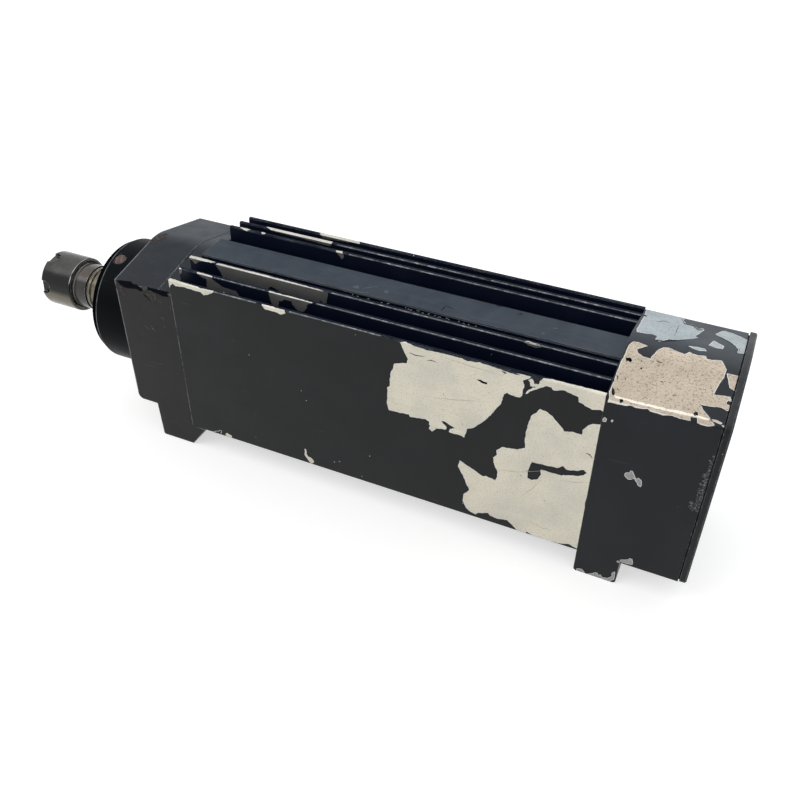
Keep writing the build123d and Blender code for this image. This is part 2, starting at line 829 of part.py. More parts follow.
with BuildPart() as shaft:
    turned(
        (nose_face_x, taper_radius(nose_face_x) + taper_gap),
        (nose_face_x, thread_radius - shaft_chamfer),
        (nose_face_x + shaft_chamfer, thread_radius),
        (nut_rear_x - thread_relief_length, thread_radius),
        (nut_rear_x - thread_relief_length, thread_relief_radius),
        (collar_x, thread_relief_radius),
        (collar_x, collar_radius),
        (first_groove_x, collar_radius),
        (first_groove_x, shaft_groove_radius),
        (ring_x, shaft_groove_radius),
        (ring_x, ring_radius),
        (second_groove_x, ring_radius),
        (second_groove_x, shaft_groove_radius),
        (neck_x, shaft_groove_radius),
        (neck_x, neck_radius),
        (labyrinth_x, neck_radius),
        (labyrinth_x, front_seat_radius),
        (shoulder_x, front_seat_radius),
        (shoulder_x, shoulder_radius),
        (shoulder_x + shoulder_length, shoulder_radius),
        (shoulder_x + shoulder_length, middle_radius),
        (rotor_seat_x, middle_radius),
        (rotor_seat_x, rotor_seat_radius),
        (rotor_seat_end_x, rotor_seat_radius),
        (rotor_seat_end_x, rear_middle_radius),
        (rear_bearing_x, rear_middle_radius),
        (rear_bearing_x, rear_seat_radius),
        (tail_x - shaft_chamfer, rear_seat_radius),
        (tail_x, rear_seat_radius - shaft_chamfer),
        (tail_x, 0),
        (shank_bore_end_x, 0),
        (shank_bore_end_x, shank_bore_radius),
        (collet_rear_x, shank_bore_radius),
        (collet_rear_x, taper_radius(collet_rear_x) + taper_gap),
    )
    with BuildSketch(station(neck_x + flats_offset)):
        with PolarLocations(wrench_flats / 2 + neck_radius / 2, 2, flats_angle):
            Rectangle(neck_radius, 2 * neck_radius)
    extrude(amount=flats_length, mode=Mode.SUBTRACT)
save(shaft, "shaft")

with BuildPart() as labyrinth_nut:
    labyrinth_bore = front_seat_radius + fit_gap
    labyrinth_flange_x = cartridge_front_x + cartridge_lip + labyrinth_gap
    turned(
        (labyrinth_x, labyrinth_bore),
        (front_bearing_x, labyrinth_bore),
        (front_bearing_x, front_seat_radius + spacer_wall),
        (front_bearing_x - labyrinth_gap, labyrinth_flange_radius),
        (labyrinth_flange_x, labyrinth_flange_radius),
        (labyrinth_flange_x, labyrinth_radius),
        (labyrinth_x, labyrinth_radius),
    )
save(labyrinth_nut, "labyrinth_nut")

with BuildPart() as rear_lock_nut:
    lock_bore = rear_seat_radius + fit_gap
    turned(
        (rear_bearing_end_x, lock_bore),
        (lock_nut_end_x, lock_bore),
        (lock_nut_end_x, lock_nut_radius - shaft_chamfer),
        (lock_nut_end_x - shaft_chamfer, lock_nut_radius),
        (rear_bearing_end_x, lock_nut_radius),
    )
    with BuildSketch(station(rear_bearing_end_x)):
        with PolarLocations(lock_nut_radius, lock_nut_slots):
            Rectangle(2 * lock_nut_slot_depth, lock_nut_slot_width)
    extrude(amount=lock_nut_length, mode=Mode.SUBTRACT)
save(rear_lock_nut, "rear_lock_nut")


# Motor: laminated cores, squirrel cage and winding

with BuildPart() as rotor_core:
    with BuildSketch(station(stator_front_x)):
        Circle(rotor_radius)
        Circle(rotor_seat_radius + fit_gap, mode=Mode.SUBTRACT)
        with PolarLocations(rotor_bar_circle, rotor_bar_count):
            Circle(rotor_bar_radius + fit_gap, mode=Mode.SUBTRACT)
    extrude(amount=stator_length)
save(rotor_core, "rotor_core")

with BuildPart() as rotor_cage:
    for end_x in (stator_front_x - end_ring_length, stator_rear_x):
        with BuildSketch(station(end_x)):
            Circle(rotor_radius)
            Circle(rotor_seat_radius + end_ring_wall, mode=Mode.SUBTRACT)
        extrude(amount=end_ring_length)
    with BuildSketch(station(stator_front_x)):
        with PolarLocations(rotor_bar_circle, rotor_bar_count):
            Circle(rotor_bar_radius)
    extrude(amount=stator_length)
save(rotor_cage, "rotor_cage")

slot_top_radius = stator_inner_radius + slot_mouth_depth


def slot_shapes(gap, mode):
    """The wide part of every winding slot, drawn in by gap all round."""
    low = slot_top_radius + gap
    high = slot_bottom_radius - gap
    with PolarLocations((low + high) / 2, slot_count):
        Rectangle(high - low, slot_width - 2 * gap, mode=mode)


with BuildPart() as stator_core:
    with BuildSketch(station(stator_front_x)):
        Circle(bore_radius - fit_gap)
        Circle(stator_inner_radius, mode=Mode.SUBTRACT)
        slot_shapes(0, Mode.SUBTRACT)
        with PolarLocations(stator_inner_radius, slot_count):
            Rectangle(3 * slot_mouth_depth, slot_mouth_width, mode=Mode.SUBTRACT)
    extrude(amount=stator_length)
save(stator_core, "stator_core")

with BuildPart() as stator_winding:
    with BuildSketch(station(stator_front_x)):
        slot_shapes(slot_gap, Mode.ADD)
    extrude(amount=stator_length)
    for end_x, outer_end in ((stator_front_x, -1), (stator_rear_x, 1)):
        with BuildSketch(turning_plane) as end_turn:
            far_x = end_x + outer_end * end_turn_length
            Polygon(
                (end_x, end_turn_inner), (far_x, end_turn_inner),
                (far_x, end_turn_outer), (end_x, end_turn_outer),
            )
            far_corners = vertices().filter_by(lambda v: abs(v.X - far_x) < fit_gap)
            fillet(far_corners, end_turn_round)
        revolve(end_turn.sketch, axis=spindle_axis)
save(stator_winding, "stator_winding")


# Collet: head with a steep cone, groove, long taper, slit by turns from both ends

collet_land_end_x = collet_front_x + collet_front_land
collet_cone_end_x = collet_land_end_x + collet_cone_length
collet_groove_x = collet_front_x + collet_head_length
collet_face_radius = collet_radius - collet_cone_length * tan(collet_cone_angle)

with BuildPart() as collet:
    turned(
        (collet_front_x, tool_radius),
        (collet_rear_x, tool_radius),
        (collet_rear_x, taper_radius(collet_rear_x)),
        (collet_taper_x, collet_radius),
        (collet_taper_x, collet_groove_radius),
        (collet_groove_x, collet_groove_radius),
        (collet_groove_x, collet_radius),
        (collet_cone_end_x, collet_radius),
        (collet_land_end_x, collet_face_radius),
        (collet_front_x, collet_face_radius),
    )
    slit_reach = collet_length - slit_bridge
    for slit_x, toward, turn in ((collet_front_x, 1, 0), (collet_rear_x, -1, 180 / slit_count)):
        with BuildSketch(station(slit_x, toward)):
            with PolarLocations(collet_radius / 2 + slit_width, slit_count, turn):
                Rectangle(collet_radius + slit_width, slit_width)
        extrude(amount=slit_reach, mode=Mode.SUBTRACT)
save(collet, "collet")


# Collet nut: cone and eccentric lip inside, rounded notches round the front rim

nut_thread_radius = thread_radius + thread_gap
nut_lip_x = nut_front_x + nut_lip_setback

with BuildPart() as collet_nut:
    with BuildSketch(turning_plane):
        Polygon(
            (nut_front_x, collet_face_radius + cone_gap),
            (collet_land_end_x, collet_face_radius + cone_gap),
            (collet_cone_end_x, collet_radius + cone_gap),
            (nut_lip_x + nut_lip_length, collet_radius + cone_gap),
            (nut_lip_x + nut_lip_length, nut_thread_radius),
            (nut_rear_x - nut_counterbore_depth, nut_thread_radius),
            (nut_rear_x, nut_counterbore_radius),
            (nut_rear_x, nut_radius),
            (nut_front_x, nut_radius),
        )
        fillet(vertices().sort_by_distance((nut_front_x, nut_radius))[0], nut_front_round)
        fillet(vertices().sort_by_distance((nut_rear_x, nut_radius))[0], nut_rear_round)
    revolve(axis=spindle_axis)
    with BuildSketch(station(nut_lip_x)):
        Circle(collet_radius + 2 * cone_gap)
        with Locations((nut_lip_offset, 0)):
            Circle(nut_lip_radius, mode=Mode.SUBTRACT)
    extrude(amount=nut_lip_length)
    for index in range(nut_notch_count):
        angle = radians(nut_notch_start + 360 * index / nut_notch_count)
        with BuildSketch(radial_plane(nut_front_x, angle, nut_radius - nut_notch_bite)):
            with Locations((nut_notch_depth - nut_notch_radius, 0)):
                Circle(nut_notch_radius)
            with Locations(((nut_notch_depth - nut_notch_radius) / 2, 0)):
                Rectangle(nut_notch_depth - nut_notch_radius, 2 * nut_notch_radius)
        extrude(amount=2 * nut_notch_bite, mode=Mode.SUBTRACT)
save(collet_nut, "collet_nut")
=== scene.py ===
import json
from math import cos, radians, sin

import bmesh
import bpy
from mathutils import Matrix, Vector, noise
from mathutils.geometry import delaunay_2d_cdt


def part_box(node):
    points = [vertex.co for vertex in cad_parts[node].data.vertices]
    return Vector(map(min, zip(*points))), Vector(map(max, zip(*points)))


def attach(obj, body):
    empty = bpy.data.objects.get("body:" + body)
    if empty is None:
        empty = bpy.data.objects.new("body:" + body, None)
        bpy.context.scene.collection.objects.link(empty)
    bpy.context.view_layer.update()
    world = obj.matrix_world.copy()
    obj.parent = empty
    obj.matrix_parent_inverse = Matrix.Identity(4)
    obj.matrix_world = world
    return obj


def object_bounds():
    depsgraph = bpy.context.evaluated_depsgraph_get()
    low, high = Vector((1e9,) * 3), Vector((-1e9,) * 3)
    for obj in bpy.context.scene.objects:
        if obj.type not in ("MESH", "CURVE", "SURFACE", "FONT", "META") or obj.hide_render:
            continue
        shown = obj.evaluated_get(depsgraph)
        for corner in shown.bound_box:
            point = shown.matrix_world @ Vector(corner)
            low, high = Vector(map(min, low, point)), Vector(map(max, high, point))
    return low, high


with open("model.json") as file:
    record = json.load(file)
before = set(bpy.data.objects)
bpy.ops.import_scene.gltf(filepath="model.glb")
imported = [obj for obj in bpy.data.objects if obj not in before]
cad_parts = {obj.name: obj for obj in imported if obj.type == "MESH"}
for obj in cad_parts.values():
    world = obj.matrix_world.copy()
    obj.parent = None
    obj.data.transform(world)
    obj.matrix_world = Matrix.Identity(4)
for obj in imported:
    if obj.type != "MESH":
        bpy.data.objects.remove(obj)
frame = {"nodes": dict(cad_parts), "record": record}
cad_low, cad_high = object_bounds()
nodes = frame["nodes"]
slots = {part["node"]: part["material_slot"] for part in frame["record"]["subparts"]}
mm = 0.001

# Camera, where the photograph was taken from
picture_middle = 400
focal_pixels = 894.9
sensor_width = 36.0
camera_azimuth = radians(24.0755)
camera_elevation = radians(37.9784)
camera_roll = radians(0.6714)
camera_place = Vector((173.13, -322.05, 314.19)) * mm

# Stations and heights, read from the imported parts
housing_low, housing_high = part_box("finned_housing")
block_low, block_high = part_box("rear_block")
casting_low, casting_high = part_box("front_casting")
nut_low, nut_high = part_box("collet_nut")
cartridge_low, cartridge_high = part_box("bearing_cartridge")
cartridge_taper = 4.5 * mm
neck_stain = 20.6 * mm
axis_height = (nut_low.z + nut_high.z) / 2

# Fins, in the order from the near side to the far side
fin_pitch = 8.75 * mm
fin_middle = 35.0 * mm
fin_root_height = 92.0 * mm
fin_half_root = 1.6 * mm
rail_half = 9.6 * mm
outer_tip_height = 101.2 * mm
casting_step_height = 20 * mm

# Floor and light
floor_half = 3.0
floor_color = (0.60, 0.59, 0.57)
floor_glow = 0.58
horizon_color = (0.66, 0.65, 0.64)
sky_color = (0.80, 0.85, 0.90)
lit_place = (0, 0, 0.05)

# Edges of the paint round a chip
ragged_step = 0.45 * mm
bright_edge = 0.22 * mm
coarse_breaks = 1.7 * mm
coarse_shift = 0.28
fine_breaks = 0.6 * mm
fine_shift = 0.12
lip_width = 0.06 * mm
lip_slope = 0.3 * mm
lip_height = 0.09 * mm
metal_lift = 0.015 * mm
mark_lift = 0.03 * mm
near_end = 0.5 * mm
rub_step = 0.7 * mm
rub_lean = 0.7
past_end = 1.5 * mm
noise_seed = 7
noise.seed_set(noise_seed)


# Pixels of the photograph to places on the parts

def camera_axes():
    """Right, up and back of the camera in the part's frame."""
    level = cos(camera_elevation)
    back = Vector((sin(camera_azimuth) * level, -cos(camera_azimuth) * level, sin(camera_elevation)))
    right = (-back).cross(Vector((0, 0, 1))).normalized()
    up = back.cross(right)
    roll = Matrix.Rotation(camera_roll, 3, back)
    return roll @ right, roll @ up, back


camera_right, camera_up, camera_back = camera_axes()


def ray(pixel):
    """Direction from the camera through a pixel of the photograph."""
    across = camera_right * (pixel[0] - picture_middle)
    down = camera_up * (picture_middle - pixel[1])
    return (across + down - camera_back * focal_pixels).normalized()


def section(node, x):
    """Outer outline of a part cut across the shaft at x, anticlockwise with y to the right and z up."""
    mesh = bmesh.new()
    mesh.from_mesh(nodes[node].data)
    bmesh.ops.remove_doubles(mesh, verts=mesh.verts, dist=1e-6)
    everything = mesh.verts[:] + mesh.edges[:] + mesh.faces[:]
    cut = bmesh.ops.bisect_plane(
        mesh, geom=everything, plane_co=(x, 0, 0), plane_no=(1, 0, 0), clear_outer=True, clear_inner=True
    )
    links = {}
    for edge in cut["geom_cut"]:
        if isinstance(edge, bmesh.types.BMEdge):
            for a, b in (edge.verts, reversed(edge.verts)):
                links.setdefault(a, []).append(b)
    loops = []
    while links:
        here = next(iter(links))
        loop = []
        while here in links:
            loop.append(Vector((here.co.y, here.co.z)))
            following = [v for v in links.pop(here) if v in links]
            here = following[0] if following else None
        loops.append(loop)
    mesh.free()
    outline = max(loops, key=perimeter)
    return outline if area(outline) > 0 else outline[::-1]


def perimeter(loop):
    """Length round a closed loop."""
    return sum((b - a).length for a, b in pairs(loop))


def area(loop):
    """Signed area of a closed loop."""
    return sum(a.cross(b) for a, b in pairs(loop)) / 2


def pairs(loop):
    """Neighbours round a closed loop."""
    return zip(loop, loop[1:] + loop[:1])


class Skin:
    """A stretch of a part's section that runs along the shaft; places on it are (x, run) and a lift."""

    def __init__(self, node, x, start, end):
        self.slot = slots[node]
        loop = section(node, x)
        first = min(range(len(loop)), key=lambda i: (loop[i] - Vector(start)).length)
        loop = loop[first:] + loop[:first]
        last = min(range(len(loop)), key=lambda i: (loop[i] - Vector(end)).length)
        self.points = loop[: last + 1]
        self.runs = [0.0]
        for a, b in zip(self.points, self.points[1:]):
            self.runs.append(self.runs[-1] + (b - a).length)
        self.low, self.high = (corner.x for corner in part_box(node))

    def steps(self):
        """Straight steps of the stretch: start, direction, length, outward normal and run at the start."""
        for a, b, run in zip(self.points, self.points[1:], self.runs):
            along = (b - a).normalized()
            yield a, along, (b - a).length, Vector((along.y, -along.x)), run

    def find(self, pixel):
        """The (x, run) place that a pixel of the photograph shows."""
        direction = ray(pixel)
        best = None
        for start, along, length, out, run in self.steps():
            normal = Vector((0, out.x, out.y))
            facing = direction.dot(normal)
            if facing >= 0:
                continue
            far = (Vector((0, start.x, start.y)) - camera_place).dot(normal) / facing
            hit = camera_place + direction * far
            reach = (Vector((hit.y, hit.z)) - start).dot(along)
            within = min(max(reach, 0), length)
            key = (round(abs(reach - within), 5), far)
            if best is None or key < best[0]:
                best = (key, Vector((self.reach(hit.x), run + within)))
        return best[1]

    def reach(self, x):
        """x, taken past the end of the part where it lies close to that end."""
        if x < self.low + near_end:
            return self.low - past_end
        if x > self.high - near_end:
            return self.high + past_end
        return x

    def clamp(self, x):
        """x kept within the part."""
        return min(max(x, self.low), self.high)

    def place(self, x, run, lift):
        """Point in space for a place on the skin."""
        last = len(self.points) - 2
        index = next((i for i in range(last + 1) if run <= self.runs[i + 1]), last)
        a, b = self.points[index], self.points[index + 1]
        share = (run - self.runs[index]) / (self.runs[index + 1] - self.runs[index])
        spot = a.lerp(b, share)
        out = self.normal(index).lerp(self.normal(index + 1), min(max(share, 0), 1)).normalized()
        return Vector((self.clamp(x), spot.x + out.x * lift, spot.y + out.y * lift))

    def normal(self, index):
        """Outward normal at a point of the stretch."""
        along = self.points[min(index + 1, len(self.points) - 1)] - self.points[max(index - 1, 0)]
        if 0 < index < len(self.points) - 1:
            before = (self.points[index] - self.points[index - 1]).normalized()
            after = (self.points[index + 1] - self.points[index]).normalized()
            along = before + after
        along = along.normalized()
        return Vector((along.y, -along.x))


# Chips in the paint: a thin patch of bare metal with a bright broken edge and a raised lip of paint

def ragged(loop, step=ragged_step, size=1.0):
    """A closed outline with the small breaks of flaked paint along it."""
    broken = []
    for a, b in pairs(loop):
        count = max(1, round((b - a).length / step))
        for k in range(count):
            spot = a.lerp(b, k / count)
            coarse = noise.noise_vector(Vector((spot.x, spot.y, 0)) / coarse_breaks)
            fine = noise.noise_vector(Vector((spot.x, spot.y, 1)) / fine_breaks)
            shift = (coarse * coarse_shift + fine * fine_shift) * mm * size
            broken.append(spot + Vector((shift.x, shift.y)))
    return broken


def widened(loop, distance):
    """An outline moved outwards by a distance."""
    moved = []
    count = len(loop)
    for i, spot in enumerate(loop):
        along = (loop[(i + 1) % count] - loop[i - 1]).normalized()
        moved.append(spot + Vector((along.y, -along.x)) * distance)
    return moved


def band(mesh, inner, outer, inner_lift, outer_lift, material):
    """A strip of faces between two outlines with as many points."""
    rings = [
        [mesh.verts.new((spot.x, spot.y, lift)) for spot in loop]
        for loop, lift in ((inner, inner_lift), (outer, outer_lift))
    ]
    for i in range(len(inner)):
        k = (i + 1) % len(inner)
        face = mesh.faces.new((rings[0][i], rings[1][i], rings[1][k], rings[0][k]))
        face.material_index = material


def patch(mesh, outer, holes, lift):
    """Triangles that fill an outline, without its holes."""
    loops = [outer] + holes
    spots = [spot for loop in loops for spot in loop]
    faces = []
    start = 0
    for loop in loops:
        faces.append(list(range(start, start + len(loop))))
        start += len(loop)
    spots, _, triangles, _, _, sources = delaunay_2d_cdt(spots, [], faces, 1, 1e-7)
    corners = [mesh.verts.new((spot.x, spot.y, lift)) for spot in spots]
    for triangle, source in zip(triangles, sources):
        if source == [0]:
            mesh.faces.new([corners[i] for i in triangle])


def traced(skin, outline, size):
    """The ragged outline on a skin that pixels of the photograph show, anticlockwise."""
    loop = ragged([skin.find(pixel) for pixel in outline], size=size)
    return loop if area(loop) > 0 else loop[::-1]


def cut(mesh, place, out, clear):
    """Cut a mesh along a plane; with clear, what lies past it goes."""
    everything = mesh.verts[:] + mesh.edges[:] + mesh.faces[:]
    bmesh.ops.bisect_plane(mesh, geom=everything, plane_co=place, plane_no=out, clear_outer=clear)


def rim(mesh, loop, lift):
    """The bright broken edge round an outline and the lip of paint beyond it."""
    edge = widened(loop, bright_edge)
    lip = widened(loop, bright_edge + lip_width)
    foot = widened(loop, bright_edge + lip_width + lip_slope)
    band(mesh, loop, edge, lift, lift, 1)
    band(mesh, edge, lip, lift, lip_height, 2)
    band(mesh, lip, foot, lip_height, 0, 2)


def laid(name, skin, mesh, *materials):
    """Wrap a flat mesh of (x, run, lift) on a skin and make it a piece."""
    cut(mesh, (skin.low, 0, 0), (-1, 0, 0), True)
    cut(mesh, (skin.high, 0, 0), (1, 0, 0), True)
    cut(mesh, (0, 0, 0), (0, -1, 0), True)
    cut(mesh, (0, skin.runs[-1], 0), (0, 1, 0), True)
    for run in skin.runs[1:-1]:
        cut(mesh, (0, run, 0), (0, 1, 0), False)
    for corner in mesh.verts:
        corner.co = skin.place(*corner.co)
    bmesh.ops.recalc_face_normals(mesh, faces=mesh.faces)
    data = bpy.data.meshes.new(name)
    mesh.to_mesh(data)
    mesh.free()
    for material in materials:
        data.materials.append(material)
    piece = bpy.data.objects.new(name, data)
    bpy.context.scene.collection.objects.link(piece)
    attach(piece, "housing")


def chip(name, skin, outlines, metal, islands=(), broken_edge=None):
    """Bare metal where paint has flaked, with islands of paint left in it."""
    mesh = bmesh.new()
    holes = [traced(skin, island, 1.0) for island in islands]
    for outline in outlines:
        outer = traced(skin, outline, 1.0)
        patch(mesh, outer, holes, metal_lift)
        rim(mesh, outer, metal_lift)
    for hole in holes:
        rim(mesh, hole[::-1], metal_lift)
    laid(name, skin, mesh, metal, broken_edge or fresh_metal, finishes[skin.slot])


def marks(name, skin, outlines, material, size=0.6):
    """Flat marks without a lip: scratches, rust, rubbed places, painted highlights and painted shadows."""
    mesh = bmesh.new()
    for outline in outlines:
        patch(mesh, traced(skin, outline, size), [], mark_lift)
    laid(name, skin, mesh, material)


def rubbed_edge_highlight(mesh, skin, out, low, high):
    """A thin broken line along the chamfer of a fin's tip: paint rubbed through, partly a painted highlight.
    """
    top = max(spot.y for spot in skin.points)
    chamfer = [step for step in skin.steps() if abs(step[3].x - out) < 0.2 and step[0].y > top - mm]
    middle = (chamfer[0][4] + chamfer[-1][4] + chamfer[-1][2]) / 2
    halves = []
    count = round((high - low) / rub_step)
    for i in range(count + 1):
        spot = Vector((low + i * rub_step, skin.points[0].x, 0))
        half = 0.19 + 0.2 * noise.noise(spot / (4 * mm)) + 0.14 * noise.noise(spot / (1.3 * mm))
        halves.append(max(0, half) * mm)
    for i in range(count):
        left, right = low + i * rub_step, low + (i + 1) * rub_step
        if halves[i] > 0 and halves[i + 1] > 0:
            spots = (
                (left, middle - halves[i]), (right, middle - halves[i + 1]),
                (right, middle + halves[i + 1]), (left, middle + halves[i]),
            )
            mesh.faces.new([mesh.verts.new((x, run, mark_lift)) for x, run in spots])


def rubbed_highlight_lines(name, out, material, stretches):
    """Rubbed lines on the fins, partly painted highlights, between pairs of places along the shaft in
    millimetres.
    """
    for index, spans in stretches.items():
        mesh = bmesh.new()
        for low, high in spans:
            rubbed_edge_highlight(mesh, fins[index], out, low * mm, high * mm)
        laid(name + "_" + str(index + 1), fins[index], mesh, material)


def stroke(path, width):
    """A thin outline along a path of pixels, narrow at both ends."""
    spots = [Vector(pixel) for pixel in path]
    left = []
    right = []
    for i, spot in enumerate(spots):
        along = (spots[min(i + 1, len(spots) - 1)] - spots[max(i - 1, 0)]).normalized()
        half = width / 2 if 0 < i < len(spots) - 1 else width / 6
        across = Vector((-along.y, along.x)) * half
        left.append(tuple(spot + across))
        right.append(tuple(spot - across))
    return left + right[::-1]


# Materials

finishes = {}


class Nodes:
    """A node tree with short calls for new nodes."""

    def __init__(self, tree):
        self.tree = tree

    def feed(self, socket, value):
        """Link an output to a socket, or set the socket's own value."""
        if isinstance(value, bpy.types.NodeSocket):
            self.tree.links.new(value, socket)
        elif isinstance(value, tuple) and len(value) == 3 and socket.type == "RGBA":
            socket.default_value = (*value, 1)
        else:
            socket.default_value = value

    def made(self, kind, inputs, output=0, **settings):
        """An output of a new node with its settings, and its inputs fed by name or number."""
        node = self.tree.nodes.new(kind)
        for key, value in settings.items():
            setattr(node, key, value)
        for key, value in inputs.items():
            self.feed(node.inputs[key], value)
        return node.outputs[output]

    def math(self, operation, *values, clamp=False):
        """An operation on numbers."""
        return self.made("ShaderNodeMath", dict(enumerate(values)), operation=operation, use_clamp=clamp)

    def times(self, product, *others):
        """The product of numbers."""
        for other in others:
            product = self.math("MULTIPLY", product, other)
        return product

    def mix(self, share, below, above):
        """Colour above laid over colour below by a share."""
        inputs = {"Factor": share, "A": below, "B": above}
        return self.made("ShaderNodeMix", inputs, "Result", data_type="RGBA")

    def part(self, which, vector):
        """One coordinate of a vector."""
        return self.made("ShaderNodeSeparateXYZ", {0: vector}, which)

    def seen_ray(self):
        """1 for rays from the camera and for mirror and see-through rays."""
        path = self.tree.nodes.new("ShaderNodeLightPath").outputs
        seen = self.math("MAXIMUM", path["Is Camera Ray"], path["Is Glossy Ray"])
        return self.math("MAXIMUM", seen, path["Is Transmission Ray"])


class Shader(Nodes):
    """A material with short calls for what the finishes share; sizes are in millimetres."""

    def __init__(self, name, color):
        self.name = name
        self.material = bpy.data.materials.new(name)
        self.material.use_nodes = True
        super().__init__(self.material.node_tree)
        self.color = color
        self.place = self.made("ShaderNodeTexCoord", {}, "Object")
        self.normal = self.made("ShaderNodeNewGeometry", {}, "Normal")

    def lay(self, share, above):
        """Lay a colour over the finish by a share."""
        self.color = self.mix(share, self.color, above)

    def stretched(self, x=1.0, y=1.0, z=1.0, spin=0.0):
        """Object place, stretched along the axes, so that a pattern grows long where the factor is small."""
        inputs = {"Vector": self.place, "Scale": (x, y, z), "Rotation": (0, spin, 0)}
        return self.made("ShaderNodeMapping", inputs)

    def clouds(self, size, detail=3.0, roughness=0.55, place=None, warp=0.0):
        """Noise whose features are about as large as size."""
        inputs = {"Vector": place or self.place, "Scale": 1 / (size * mm), "Detail": detail}
        inputs.update({"Roughness": roughness, "Distortion": warp})
        return self.made("ShaderNodeTexNoise", inputs, "Fac")

    def cells(self, size):
        """Distance to scattered points about a size apart, as a share of it."""
        return self.made("ShaderNodeTexVoronoi", {"Vector": self.place, "Scale": 1 / (size * mm)}, "Distance")

    def rise(self, value, low, high, to_low=0.0, to_high=1.0):
        """A smooth step from low to high."""
        inputs = dict(enumerate((value, low, high, to_low, to_high)))
        return self.made("ShaderNodeMapRange", inputs, interpolation_type="SMOOTHSTEP")

    def spots(self, size, low, high, to_low=0.0, to_high=1.0, **shape):
        """Clouds of a size, stepped smoothly from low to high."""
        return self.rise(self.clouds(size, **shape), low, high, to_low, to_high)

    def axis(self, which):
        """One coordinate of the place."""
        return self.part(which, self.place)

    def leaning(self, which, normal=None):
        """One part of a normal, from -1 to 1."""
        return self.part(which, normal or self.normal)

    def upward(self):
        """How far a face looks up, from 0 to 1."""
        return self.math("MAXIMUM", self.leaning("Z"), 0.0)

    def from_shaft(self):
        """Distance from the shaft's axis."""
        aside = self.times(self.axis("Y"), self.axis("Y"))
        above = self.math("SUBTRACT", self.axis("Z"), axis_height)
        return self.math("SQRT", self.math("ADD", aside, self.times(above, above)))

    def softened(self, radius):
        """Normal with the sharp edges eased."""
        return self.made("ShaderNodeBevel", {"Radius": radius * mm}, samples=4)

    def edges(self, radius):
        """How near an edge a place is: 0 on a flat face."""
        inputs = {0: self.softened(radius), 1: self.normal}
        alike = self.made("ShaderNodeVectorMath", inputs, "Value", operation="DOT_PRODUCT")
        return self.math("SUBTRACT", 1.0, alike, clamp=True)

    def bump(self, height, depth, normal):
        """Normal roughened by a height of a depth."""
        inputs = {"Height": height, "Distance": depth * mm, "Normal": normal}
        return self.made("ShaderNodeBump", inputs)

    def finish(self, roughness, metallic=0.0, normal=None, gloss=None):
        """Set the surface, keep the material among the finishes and return it."""
        inputs = self.tree.nodes["Principled BSDF"].inputs
        values = {"Base Color": self.color, "Roughness": roughness, "Metallic": metallic}
        values.update({"Normal": normal, "Specular IOR Level": gloss})
        for key, value in values.items():
            if value is not None:
                self.feed(inputs[key], value)
        finishes[self.name] = self.material
        return self.material


